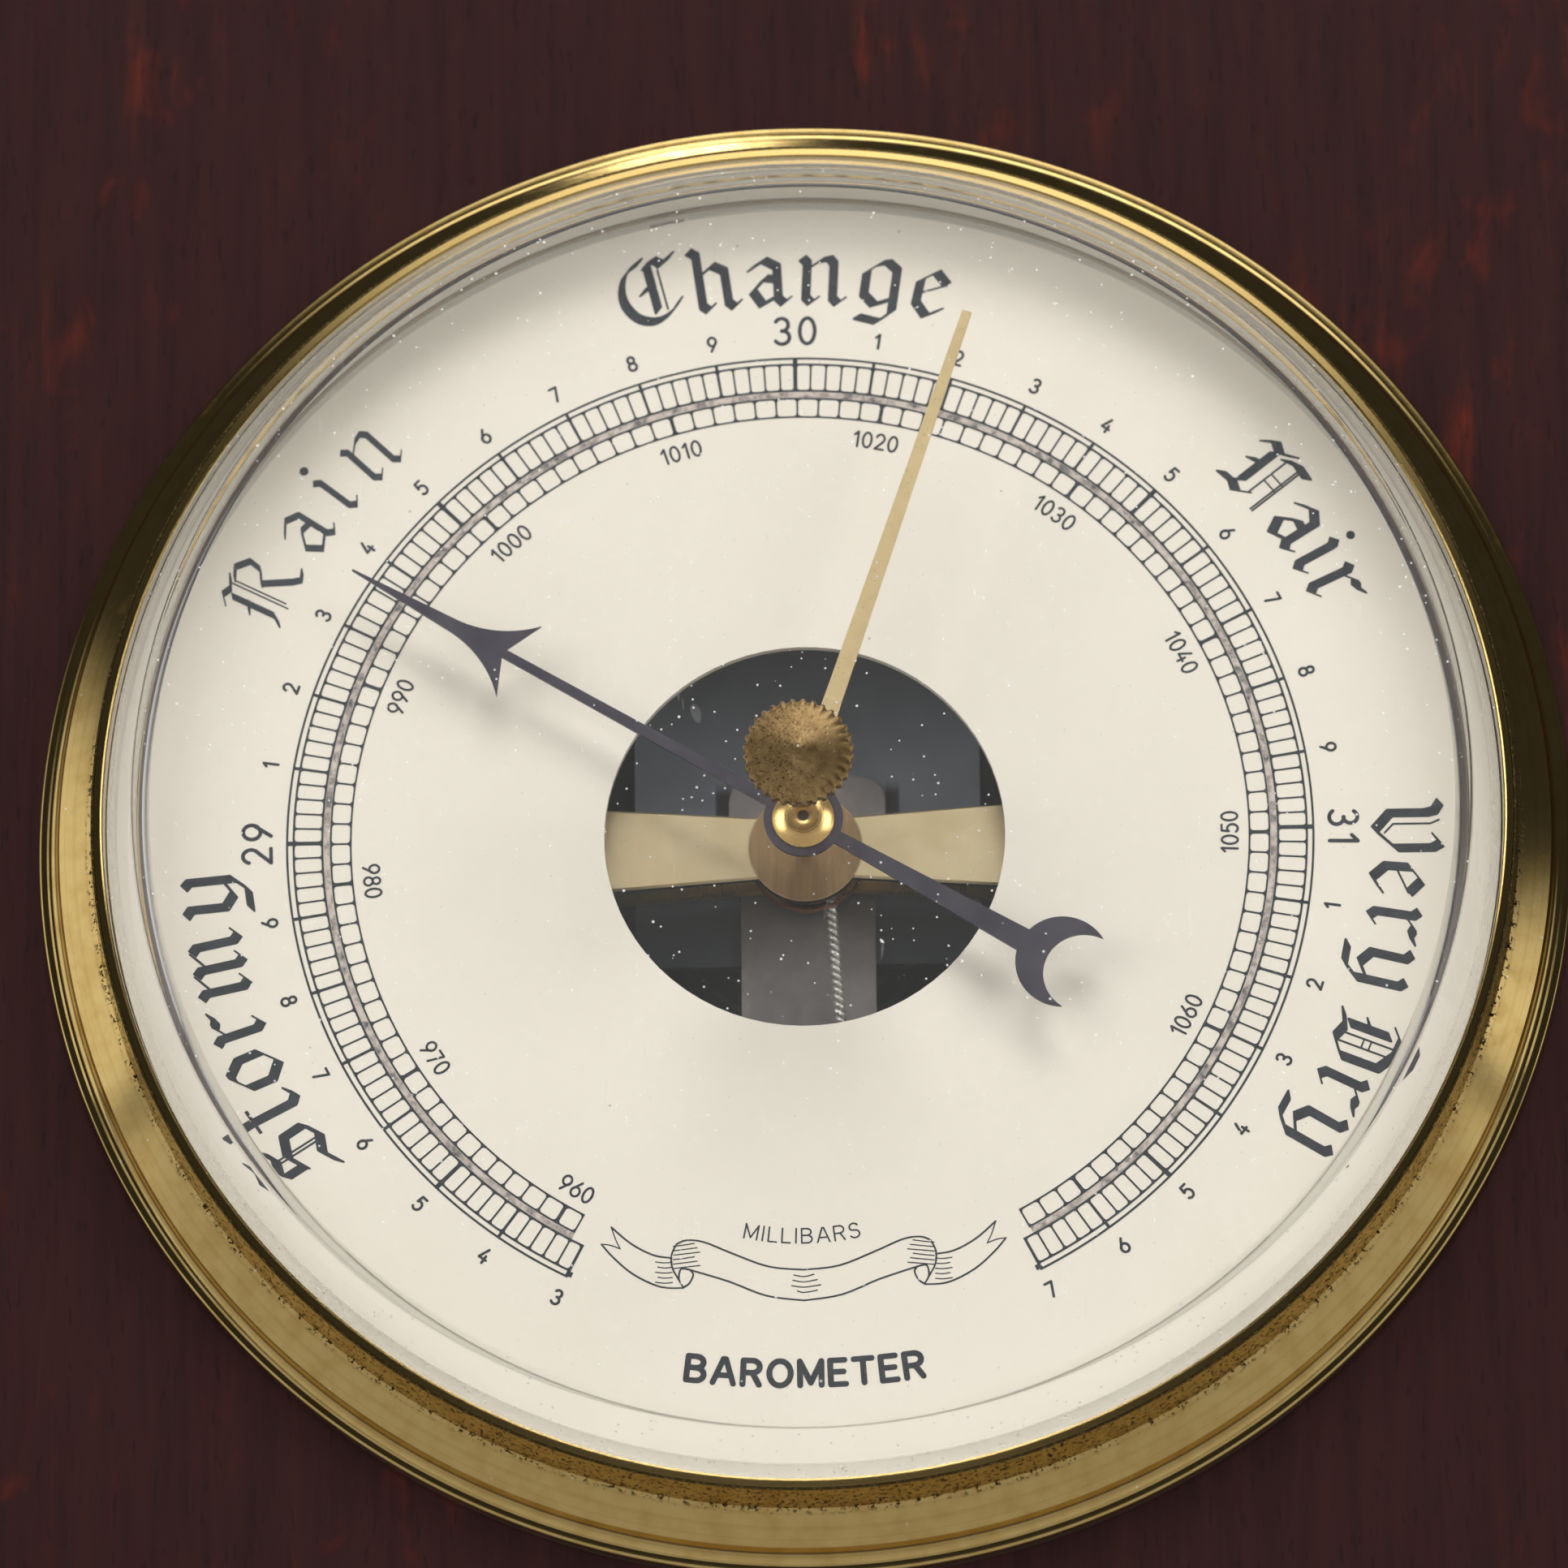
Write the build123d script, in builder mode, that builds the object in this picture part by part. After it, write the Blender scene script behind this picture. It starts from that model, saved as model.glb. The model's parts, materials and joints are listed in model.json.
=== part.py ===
from build123d import *
import os
from math import cos, pi, radians, sin

# Ship barometer: an aneroid barometer in a brass case, let into a moulded mahogany board.
# Millimetres. +Z is up, the dial faces -Y, +X is to the reader's right.
# The origin is the middle of the board's back (wall) face, on the barometer's axis.
# A "depth" is a distance in front of the wall. A "height" is a distance in front of the dial face.

# ---------------------------------------------------------------- board
board_width = 200.0
board_tall = 200.0
board_depth = 34.2
board_step = 8.0          # how far the raised field stands in from the edge
board_slab = 27.0         # depth of the board's lower stage
board_hole_r = 65.6
edge_round = 4.5
cove_r = 3.0
field_round = 2.5
hanger_z = 82.0
hanger_length = 44.0
hanger_width = 18.0
hanger_thick = 1.6
keyhole_entry_r = 4.5
keyhole_slot_r = 2.3
keyhole_entry_z = hanger_z - 3.0
keyhole_end_z = hanger_z + 4.0
keyhole_cavity = 9.0

# ---------------------------------------------------------------- case, bezel and lens
dial_recess = 0.0         # the dial lies this far behind the board's front face
dial_face = board_depth - dial_recess
case_inner_r = 64.4
case_outer_r = 65.4
case_rim_r = 68.8
case_rim_thick = 0.6
case_back_height = -28.0
case_back_thick = 1.2
bezel_r = 70.6
bezel_crest_r = 68.6
bezel_neck_r = 65.5       # foot of the steep wall that stands round the lens
bezel_bore_r = 64.9
lens_r = 63.95
lens_flat_r = 61.0
lens_top = 14.05
lens_thick = 1.6
lens_shoulder = 9.33
lens_foot_r = 64.35
bush_bore_r = 0.96
bush_r = 1.5
bush_flange_r = 2.1

# ---------------------------------------------------------------- dial
dial_r = 64.2
dial_thick = 0.8
dial_hole_r = 18.4
pillar_circle_r = 50.0

# ---------------------------------------------------------------- hands
pointer_angle = -58.8     # degrees clockwise from the top of the dial
pointer_length = 48.4
pointer_thick = 0.3
pointer_height = 4.35
set_angle = 18.6
set_length = 49.4
set_thick = 0.35
set_height = 11.75
hub_r = 2.85
hub_top = 5.4
knob_r = 5.0
knob_teeth = 32
knob_rim_height = 22.0
knob_rim_thick = 1.5
knob_point = 24.7
set_shaft_r = 0.9
set_tenon_r = 0.6
knob_neck_r = 1.9
set_boss_r = 1.3

# ---------------------------------------------------------------- movement, heights from the dial face
base_r = 56.0
base_top = -24.8
base_bottom = -26.8
capsule_r = 27.4
capsule_wall = 0.4
spring_bottom = -14.6
spring_thick = 1.2
lever_bottom = -13.4
lever_thick = 1.2
cock_bottom = -10.2
cock_thick = 1.2
bridge_bottom = -4.1
bridge_thick = 0.8
bridge_reach = 31.0       # from the arbor to each pillar
arbor_r = 0.6
running_gap = 0.05
chain_r = 0.45
drum_core_r = 1.15
wrap_centre_r = 1.6       # the chain's centre line on the drum
pivot_z = 38.0            # the line that the mainspring bends about
spring_screw_z = 41.0
rocker_z = -33.0
rocker_height = -19.9
rocker_arm_length = 13.5
crank_length = 3.0
arm_x = 4.9
arm_thick = 1.2
chain_x = 4.05
half_swing = 58.8         # the hand's rest angle from the middle of its sweep
rocker_ratio = wrap_centre_r / rocker_arm_length
rocker_tilt = radians(half_swing * rocker_ratio)
tip_z = rocker_z + rocker_arm_length * sin(rocker_tilt)
tip_height = rocker_height + rocker_arm_length * cos(rocker_tilt)
crank_z = rocker_z - crank_length * cos(rocker_tilt)
crank_height = rocker_height + crank_length * sin(rocker_tilt)


# ---------------------------------------------------------------- planes and shared shapes
half_plane = Plane(origin=(0, 0, 0), x_dir=(1, 0, 0), z_dir=(0, 0, -1))


def facing(depth):
    """Plane that faces the reader at a depth in front of the wall. Its x and y are the world's X and Z."""
    return Plane.XZ.offset(depth)


def at(height):
    """Plane that faces the reader at a height in front of the dial face."""
    return facing(dial_face + height)


def along_hand(height, angle):
    """Plane that faces the reader, with its x along a hand that points clockwise of the top by angle."""
    turn = radians(angle)
    return Plane(
        origin=(0, -(dial_face + height), 0), x_dir=(sin(turn), 0, cos(turn)), z_dir=(0, -1, 0)
    )


def lift(points):
    """Turns (radius, height) points into (radius, depth) points for the half plane."""
    return [(radius, dial_face + height) for radius, height in points]


def outline(points):
    """Closed face on the half plane from (radius, height) points, ready to revolve."""
    with BuildSketch(half_plane) as face:
        with BuildLine():
            Polyline(*lift(points), close=True)
        make_face()
    return face.sketch


def discs(plane, radius, places=((0, 0),)):
    """Round faces on a plane, one at each place."""
    with BuildSketch(plane) as faces:
        with Locations(*places):
            Circle(radius)
    return faces.sketch


def screws(places, seat, head_r, head_tall, shank_r, shank_long, toward=1):
    """Slotted cheese-head screws, one solid at each (x, z) place. Toward 1 puts the heads to the reader."""
    slot_wide = head_r * 0.3
    with BuildPart() as group:
        extrude(discs(at(seat), shank_r, places), amount=-toward * shank_long)
        extrude(discs(at(seat), head_r, places), amount=toward * head_tall)
        with BuildSketch(at(seat + toward * head_tall)):
            with Locations(*places):
                Rectangle(head_r * 2.5, slot_wide, rotation=25)
        extrude(amount=-toward * head_tall * 0.45, mode=Mode.SUBTRACT)
    return group


def around(radius, angles):
    """(x, z) places on a circle, at angles anticlockwise from the right."""
    return [(radius * cos(radians(a)), radius * sin(radians(a))) for a in angles]


dial_pillar_places = around(pillar_circle_r, (30, 150, 270))
base_screw_places = around(52.0, (48, 180, 312))
case_bolt_places = around(60.8, (45, 135, 225, 315))
bridge_places = [(-bridge_reach, 0), (bridge_reach, 0)]
clamp_places = [(-11.0, spring_screw_z), (11.0, spring_screw_z)]
bracket_places = [(-20.8, spring_screw_z), (20.8, spring_screw_z)]
rocker_foot_places = [(-8.2, rocker_z - 0.5), (8.2, rocker_z - 0.5)]
hanger_places = [(-16.5, hanger_z), (16.5, hanger_z)]
lever_rivet_places = [(-4.6, 0), (4.6, 0)]

# ---------------------------------------------------------------- board and wall hanger
web = dial_face + case_back_height        # wood left behind the case

with BuildPart() as backboard:
    with BuildSketch(facing(0)):
        Rectangle(board_width, board_tall)
    extrude(amount=board_slab)
    fillet(backboard.faces().sort_by(Axis.Y)[0].edges(), edge_round)
    with BuildSketch(facing(board_slab)):
        Rectangle(board_width - 2 * board_step, board_tall - 2 * board_step)
    extrude(amount=board_depth - board_slab)
    fillet(backboard.faces().sort_by(Axis.Y)[0].edges(), field_round)
    inner_corner = backboard.edges().filter_by_position(Axis.Y, -board_slab - 0.01, -board_slab + 0.01)
    fillet(inner_corner.filter_by_position(Axis.X, -board_width / 2 + 6, board_width / 2 - 6)
           .filter_by_position(Axis.Z, -board_tall / 2 + 6, board_tall / 2 - 6), cove_r)
    extrude(discs(facing(web), board_hole_r), amount=board_depth, mode=Mode.SUBTRACT)
    extrude(discs(facing(0), 5.0, [(0, spring_screw_z)]), amount=web, mode=Mode.SUBTRACT)
    extrude(discs(facing(0), 2.1, case_bolt_places), amount=web, mode=Mode.SUBTRACT)
    extrude(discs(facing(0), 4.2, case_bolt_places), amount=2.6, mode=Mode.SUBTRACT)
    with BuildSketch(facing(0)):
        with Locations((0, hanger_z)):
            RectangleRounded(hanger_length + 0.4, hanger_width + 0.4, 2.2)
    extrude(amount=hanger_thick, mode=Mode.SUBTRACT)
    with BuildSketch(facing(hanger_thick)):
        with Locations((0, hanger_z)):
            SlotOverall(16.5, 10.5, rotation=90)
    extrude(amount=keyhole_cavity, mode=Mode.SUBTRACT)
    extrude(discs(facing(0), 1.4, hanger_places), amount=15, mode=Mode.SUBTRACT)
backboard.part.label = "backboard"

with BuildPart() as hanger_plate:
    with BuildSketch(facing(0)):
        with Locations((0, hanger_z)):
            RectangleRounded(hanger_length, hanger_width, 2)
        with Locations((0, keyhole_entry_z)):
            Circle(keyhole_entry_r, mode=Mode.SUBTRACT)
        with Locations((0, (keyhole_entry_z + keyhole_end_z) / 2)):
            SlotCenterToCenter(keyhole_end_z - keyhole_entry_z, 2 * keyhole_slot_r, rotation=90,
                               mode=Mode.SUBTRACT)
    extrude(amount=hanger_thick)
    with Locations(Plane(origin=(0, 0, 0), x_dir=(-1, 0, 0), z_dir=(0, 1, 0))):
        with Locations(*hanger_places):
            CounterSinkHole(1.6, 3.0, depth=hanger_thick, counter_sink_angle=100)
hanger_plate.part.label = "hanger_plate"

with BuildPart() as hanger_screws:
    with BuildSketch(half_plane):
        with BuildLine():
            Polyline((0, 0.1), (2.75, 0.1), (1.3, 1.35), (1.3, 12.0), (0, 14.0), close=True)
        make_face()
    woodscrew = revolve(axis=Axis.Y, mode=Mode.PRIVATE)
    with BuildSketch(facing(0.1)):
        Rectangle(6, 0.8)
    slot = extrude(amount=0.6, mode=Mode.PRIVATE)
    for x, z in hanger_places:
        add((woodscrew - slot).moved(Location((x, 0, z))))
hanger_screws.part.label = "hanger_screws"

# ---------------------------------------------------------------- case
case_back_inside = case_back_height + case_back_thick
rim_seat = board_depth - dial_face

with BuildPart() as case:
    revolve(outline([
        (0, case_back_height), (case_outer_r, case_back_height), (case_outer_r, rim_seat),
        (case_rim_r, rim_seat), (case_rim_r, rim_seat + case_rim_thick),
        (case_inner_r, rim_seat + case_rim_thick), (case_inner_r, case_back_inside), (0, case_back_inside),
    ]), axis=Axis.Y)
    extrude(discs(at(case_back_height), 4.0, [(0, spring_screw_z)]), amount=case_back_thick,
            mode=Mode.SUBTRACT)
    extrude(discs(at(case_back_height), 2.05, case_bolt_places), amount=case_back_thick,
            mode=Mode.SUBTRACT)
    extrude(discs(at(case_back_height), 1.32, base_screw_places), amount=case_back_thick,
            mode=Mode.SUBTRACT)
case.part.label = "case"

with BuildPart() as case_nuts:
    with BuildSketch(at(case_back_inside)):
        with Locations(*case_bolt_places):
            RegularPolygon(3.0, 6)
            Circle(2.02, mode=Mode.SUBTRACT)
    extrude(amount=2.4)
case_nuts.part.label = "case_nuts"

case_bolts = screws(case_bolt_places, 2.6 - dial_face, 3.9, 1.9, 2.0,
                    web - 2.6 + case_back_thick + 3.2, toward=-1)
case_bolts.part.label = "case_bolts"

with BuildPart() as dial_seat:
    revolve(outline([
        (60.0, -dial_thick - 1.0), (63.3, -dial_thick - 1.0), (63.3, -dial_thick - 5.0),
        (64.38, -dial_thick - 5.0), (64.38, -dial_thick), (60.0, -dial_thick),
    ]), axis=Axis.Y)
dial_seat.part.label = "dial_seat"

# ---------------------------------------------------------------- bezel, lens and its bush
crest = rim_seat + 2.8
neck = rim_seat + 4.9
bezel_top = rim_seat + 9.28

with BuildPart() as bezel:
    with BuildSketch(half_plane):
        with BuildLine():
            below = lift([
                (bezel_bore_r, bezel_top), (bezel_bore_r, rim_seat + case_rim_thick + 0.02),
                (case_rim_r + 0.05, rim_seat + case_rim_thick + 0.02), (case_rim_r + 0.05, rim_seat),
                (bezel_r, rim_seat), (bezel_r, rim_seat + 0.7),
            ])
            rim, shelf, cove_foot, top = lift([
                (bezel_r - 0.3, rim_seat + 1.0), (bezel_r - 0.75, rim_seat + 1.0),
                (bezel_r - 0.95, rim_seat + 1.16), (bezel_crest_r, crest),
            ])
            Polyline(*below)
            ThreePointArc(below[-1], (bezel_r - 0.09, dial_face + rim_seat + 0.91), rim)
            Polyline(rim, shelf, cove_foot)
            ThreePointArc(cove_foot, (bezel_crest_r + 0.3, dial_face + rim_seat + 1.6), top)
            Polyline(top, *lift([(bezel_neck_r, neck), (bezel_bore_r + 0.2, bezel_top)]), below[0])
        make_face()
    revolve(axis=Axis.Y)
bezel.part.label = "bezel"

with BuildPart() as retaining_ring:
    revolve(outline([
        (lens_r + 0.04, 1.45), (bezel_bore_r - 0.05, 1.45), (bezel_bore_r - 0.05, bezel_top),
        (lens_r + 0.3, bezel_top + 0.06), (lens_r + 0.04, bezel_top - 0.1),
    ]), axis=Axis.Y)
retaining_ring.part.label = "retaining_ring"

with BuildPart() as lens:
    revolve(outline([
        (bush_r + 0.02, lens_top), (lens_flat_r, lens_top), (62.6, 11.53), (lens_r, lens_shoulder),
        (lens_r, 1.4), (lens_foot_r, 1.4), (lens_foot_r, 0), (62.0, 0), (62.0, 9.0), (60.2, 11.9),
        (59.4, lens_top - lens_thick), (bush_r + 0.02, lens_top - lens_thick),
    ]), axis=Axis.Y)
    flat_rim = lens.edges().filter_by(GeomType.CIRCLE).filter_by_position(
        Axis.Y, -dial_face - lens_top - 0.01, -dial_face - lens_top + 0.01).sort_by(SortBy.RADIUS)[-1]
    fillet(flat_rim, 0.5)
lens.part.label = "lens"

with BuildPart() as lens_bush:
    revolve(outline([
        (bush_bore_r, lens_top - lens_thick), (bush_r, lens_top - lens_thick), (bush_r, lens_top),
        (bush_flange_r, lens_top), (bush_flange_r, lens_top + 0.45), (bush_flange_r - 0.25, lens_top + 0.7),
        (bush_bore_r, lens_top + 0.7),
    ]), axis=Axis.Y)
lens_bush.part.label = "lens_bush"

# ---------------------------------------------------------------- set hand and its knob
neck_height = lens_top + 1.15

with BuildPart() as knob:
    with BuildSketch(at(knob_rim_height)):
        Circle(knob_r)
        with PolarLocations(knob_r + 0.12, knob_teeth):
            Circle(0.36, mode=Mode.SUBTRACT)
    extrude(amount=knob_rim_thick)
    revolve(outline([
        (0, knob_rim_height + knob_rim_thick), (knob_r - 0.26, knob_rim_height + knob_rim_thick),
        (0, knob_point),
    ]), axis=Axis.Y)
    extrude(discs(at(neck_height), knob_neck_r), amount=knob_rim_height - neck_height)
    extrude(discs(at(neck_height), set_shaft_r + 0.01), amount=knob_rim_height - neck_height + 0.5,
            mode=Mode.SUBTRACT)
knob.part.label = "knob"

with BuildPart() as set_shaft:
    revolve(outline([
        (0, set_height - 0.3), (0.8, set_height - 0.3), (1.0, set_height), (set_tenon_r, set_height),
        (set_tenon_r, set_height + set_thick), (set_shaft_r, set_height + set_thick),
        (set_shaft_r, knob_rim_height + 0.5), (0, knob_rim_height + 0.5),
    ]), axis=Axis.Y)
set_shaft.part.label = "set_shaft"

with BuildPart() as friction_washer:
    with BuildSketch(at(lens_top + 0.75)):
        Circle(bush_flange_r - 0.1)
        Circle(set_shaft_r + 0.03, mode=Mode.SUBTRACT)
    extrude(amount=0.35)
friction_washer.part.label = "friction_washer"

with BuildPart() as set_hand:
    with BuildSketch(along_hand(set_height, set_angle)):
        with BuildLine():
            Polyline((0, 1.15), (9, 0.85), (set_length, 0.45), (set_length, -0.45), (9, -0.85), (0, -1.15),
                     close=True)
        make_face()
        Circle(set_boss_r)
        Circle(set_tenon_r + 0.02, mode=Mode.SUBTRACT)
    extrude(amount=set_thick)
set_hand.part.label = "set_hand"

# ---------------------------------------------------------------- dial
with BuildPart() as dial:
    with BuildSketch(at(-dial_thick)):
        Circle(dial_r)
        Circle(dial_hole_r, mode=Mode.SUBTRACT)
    extrude(amount=dial_thick)
dial.part.label = "dial"

foot_top = -dial_thick
foot_depth = 4.0
foot_collar = 0.8

with BuildPart() as dial_feet:
    extrude(discs(at(foot_top), 0.8, dial_pillar_places), amount=-foot_depth)
    extrude(discs(at(foot_top), 1.6, dial_pillar_places), amount=-foot_collar)
dial_feet.part.label = "dial_feet"

pillar_top = foot_top - foot_collar

with BuildPart() as dial_pillars:
    with BuildSketch(at(base_top)):
        with Locations(*dial_pillar_places):
            RegularPolygon(3.2, 6)
    extrude(amount=pillar_top - base_top)
    extrude(discs(at(base_bottom), 1.6, dial_pillar_places), amount=base_top - base_bottom)
    extrude(discs(at(pillar_top), 0.82, dial_pillar_places), amount=-foot_depth, mode=Mode.SUBTRACT)
dial_pillars.part.label = "dial_pillars"

# ---------------------------------------------------------------- pointer and arbor
notch_u = 32.0
barb_u = 30.4
barb_v = 4.0
neck_u = 38.0
moon_u = -27.4
moon_r = 4.3

with BuildPart() as pointer:
    with BuildSketch(along_hand(pointer_height, pointer_angle)):
        with BuildLine():
            Polyline((3.0, 0.62), (notch_u, 0.42), (barb_u, barb_v))
            ThreePointArc((barb_u, barb_v), (33.4, 1.75), (neck_u, 0.62))
            Polyline((neck_u, 0.62), (pointer_length, 0.08), (pointer_length, -0.08), (neck_u, -0.62))
            ThreePointArc((neck_u, -0.62), (33.4, -1.75), (barb_u, -barb_v))
            Polyline((barb_u, -barb_v), (notch_u, -0.42), (3.0, -0.62), (3.0, 0.62))
        make_face()
        with BuildLine():
            Polyline((-3.0, 0.6), (-3.0, -0.6), (moon_u + 3.2, -1.15), (moon_u + 3.2, 1.15), close=True)
        make_face()
        with Locations((moon_u, 0)):
            Circle(moon_r)
        with Locations((moon_u - 2.3, 0)):
            Circle(3.75, mode=Mode.SUBTRACT)
        Circle(3.65)
        Circle(hub_r + 0.02, mode=Mode.SUBTRACT)
    extrude(amount=pointer_thick)
pointer.part.label = "pointer"

with BuildPart() as hub:
    with BuildSketch(half_plane):
        with BuildLine():
            base = lift([
                (0.53, hub_top), (0.53, 4.6), (arbor_r + 0.01, 4.6), (arbor_r + 0.01, 2.6), (1.6, 2.6),
                (1.6, 3.9), (3.3, 3.9), (3.3, pointer_height), (hub_r, pointer_height),
                (hub_r, pointer_height + 0.45),
            ])
            Polyline(*base)
            ThreePointArc(base[-1], (2.2, dial_face + hub_top - 0.2), base[0])
        make_face()
    revolve(axis=Axis.Y)
hub.part.label = "hub"

with BuildPart() as arbor:
    extrude(discs(at(cock_bottom + 0.05), arbor_r), amount=4.5 - cock_bottom - 0.05)
arbor.part.label = "arbor"

with BuildPart() as chain_drum:
    revolve(outline([
        (arbor_r + 0.01, -8.6), (2.2, -8.6), (2.2, -8.38), (drum_core_r, -8.38), (drum_core_r, -5.9),
        (arbor_r + 0.01, -5.9),
    ]), axis=Axis.Y)
chain_drum.part.label = "chain_drum"

with BuildPart() as chain_wrap:
    with BuildSketch(half_plane):
        with Locations((wrap_centre_r, dial_face - 7.95)):
            Circle(chain_r - 0.05)
    revolve(axis=Axis.Y)
chain_wrap.part.label = "chain_wrap"

# ---------------------------------------------------------------- hairspring
coil_inner = 1.75
coil_outer = 5.6
coil_turns = 5
coil_band = 0.18
coil_bottom = -5.7
coil_tall = 0.7


def coil(shift):
    """Points of the hairspring's spiral, moved outward by shift."""
    steps = 12 * coil_turns
    spots = []
    for i in range(steps + 1):
        share = i / steps
        radius = coil_inner + (coil_outer - coil_inner) * share + shift
        angle = 2 * pi * coil_turns * share
        spots.append((radius * cos(angle), radius * sin(angle)))
    return spots


with BuildPart() as hairspring:
    with BuildSketch(at(coil_bottom)):
        with BuildLine():
            outside = Spline(*coil(coil_band / 2))
            inside = Spline(*coil(-coil_band / 2))
            Line(outside @ 0, inside @ 0)
            Line(outside @ 1, inside @ 1)
        make_face()
    extrude(amount=coil_tall)
hairspring.part.label = "hairspring"

with BuildPart() as hairspring_collet:
    with BuildSketch(at(coil_bottom - 0.1)):
        Circle(1.55)
        Circle(arbor_r + 0.01, mode=Mode.SUBTRACT)
    extrude(amount=coil_tall + 0.15)
hairspring_collet.part.label = "hairspring_collet"

with BuildPart() as hairspring_stud:
    stud_place = [(coil_outer + 0.6, 0)]
    extrude(discs(at(bridge_bottom), 0.45, stud_place), amount=coil_bottom - 0.1 - bridge_bottom)
hairspring_stud.part.label = "hairspring_stud"

# ---------------------------------------------------------------- base plate and bridges
with BuildPart() as base_plate:
    extrude(discs(at(base_bottom), base_r), amount=base_top - base_bottom)
    with Locations(at(base_top)):
        with Locations((0, spring_screw_z)):
            Hole(3.6)
        with Locations(*base_screw_places):
            Hole(1.32)
        with Locations(*dial_pillar_places):
            Hole(1.62)
        with Locations(*bridge_places):
            Hole(1.62)
        with Locations(*bracket_places):
            Hole(1.22)
        with Locations(*rocker_foot_places):
            Hole(0.92)
        Hole(2.52)
base_plate.part.label = "base_plate"

base_screws = screws(base_screw_places, base_top, 2.6, 1.6, 1.3, base_top - base_bottom + case_back_thick)
base_screws.part.label = "base_screws"

shoulder_r = 3.2
tenon_r = 2.4

with BuildPart() as bridge_pillars:
    extrude(discs(at(base_top), shoulder_r, bridge_places), amount=cock_bottom - base_top)
    extrude(discs(at(cock_bottom), tenon_r, bridge_places), amount=bridge_bottom - cock_bottom)
    extrude(discs(at(base_bottom), 1.6, bridge_places), amount=base_top - base_bottom)
    extrude(discs(at(bridge_bottom), 1.12, bridge_places), amount=-8.0, mode=Mode.SUBTRACT)
bridge_pillars.part.label = "bridge_pillars"

with BuildPart() as pillar_sleeves:
    with BuildSketch(at(cock_bottom + cock_thick)):
        with Locations(*bridge_places):
            Circle(shoulder_r)
            Circle(tenon_r + 0.02, mode=Mode.SUBTRACT)
    extrude(amount=bridge_bottom - cock_bottom - cock_thick)
pillar_sleeves.part.label = "pillar_sleeves"


def bow_tie(plane, disc_r, waist, end_r):
    """Plate outline: a disc on the arbor with two arms that widen out to the pillars."""
    with BuildSketch(plane) as plate:
        with BuildLine():
            Polyline((-bridge_reach, end_r), (0, waist), (bridge_reach, end_r), (bridge_reach, -end_r),
                     (0, -waist), (-bridge_reach, -end_r), close=True)
        make_face()
        Circle(disc_r)
        with Locations(*bridge_places):
            Circle(end_r)
    return plate.sketch


with BuildPart() as lower_cock:
    extrude(bow_tie(at(cock_bottom), 4.0, 1.8, 4.2), amount=cock_thick)
    with Locations(at(cock_bottom + cock_thick)):
        Hole(arbor_r + running_gap)
        with Locations(*bridge_places):
            Hole(tenon_r + 0.02)
lower_cock.part.label = "lower_cock"

with BuildPart() as bridge:
    extrude(bow_tie(at(bridge_bottom), 5.25, 2.66, 4.9), amount=bridge_thick)
    with Locations(at(bridge_bottom + bridge_thick)):
        Hole(arbor_r + running_gap)
        with Locations(*bridge_places):
            Hole(1.25)
    chamfer(bridge.faces().sort_by(Axis.Y)[0].edges().filter_by(GeomType.LINE), 0.2)
bridge.part.label = "bridge"

bridge_screws = screws(bridge_places, bridge_bottom + bridge_thick, 2.4, 1.3, 1.1, bridge_thick + 7.0)
bridge_screws.part.label = "bridge_screws"

# ---------------------------------------------------------------- vacuum capsule
wave_start = 6.0
wave_end = 24.5
wave_count = 5
wave_tall = 0.45


def waves(inner_level, outer_level):
    """Points of a corrugated diaphragm's surface from its centre boss to its rim."""
    steps = 8 * wave_count
    spots = []
    for i in range(steps + 1):
        share = i / steps
        level = inner_level + (outer_level - inner_level) * share
        level += wave_tall * sin(2 * pi * wave_count * share)
        spots.append((wave_start + (wave_end - wave_start) * share, level))
    return spots


def diaphragm(inner_level, outer_level, rim):
    """Corrugated dish on the half plane. Rim holds its (radius, height) points, upper side first."""
    with BuildSketch(half_plane) as dish:
        with BuildLine():
            upper = lift(waves(inner_level + capsule_wall, outer_level + capsule_wall))
            lower = lift(waves(inner_level, outer_level))
            Spline(*upper)
            Spline(*lower)
            Polyline(upper[-1], *lift(rim), lower[-1])
            Polyline(upper[0], (0, upper[0][1]), (0, lower[0][1]), lower[0])
        make_face()
    return dish.sketch


lower_rim = -20.9
upper_rim = -19.7
capsule_top = -16.6

with BuildPart() as capsule_lower:
    revolve(diaphragm(-23.5, lower_rim, [
        (capsule_r - 0.4, lower_rim + capsule_wall), (capsule_r - 0.4, lower_rim + 2.3),
        (capsule_r, lower_rim + 2.3), (capsule_r, lower_rim),
    ]), axis=Axis.Y)
capsule_lower.part.label = "capsule_lower"

with BuildPart() as capsule_upper:
    revolve(diaphragm(capsule_top - capsule_wall, upper_rim, [
        (capsule_r - 0.5, upper_rim + capsule_wall), (capsule_r - 0.5, upper_rim),
    ]), axis=Axis.Y)
capsule_upper.part.label = "capsule_upper"

with BuildPart() as capsule_foot:
    extrude(discs(at(base_top), 5.5), amount=-23.5 - base_top)
    extrude(discs(at(base_top), 2.5), amount=base_bottom - base_top)
capsule_foot.part.label = "capsule_foot"

post_r = 2.2
post_top = -10.8
pin_height = lever_bottom + lever_thick + 0.65

with BuildPart() as capsule_post:
    extrude(discs(at(capsule_top), post_r), amount=post_top - capsule_top)
    with BuildSketch(Plane.YZ.offset(-post_r - 1)):
        with Locations((-(dial_face + pin_height), 0)):
            Circle(0.62)
    extrude(amount=2 * post_r + 2, mode=Mode.SUBTRACT)
capsule_post.part.label = "capsule_post"

with BuildPart() as capsule_pin:
    with BuildSketch(Plane.YZ.offset(-4.2)):
        with Locations((-(dial_face + pin_height), 0)):
            Circle(0.6)
    extrude(amount=8.4)
capsule_pin.part.label = "capsule_pin"

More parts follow.
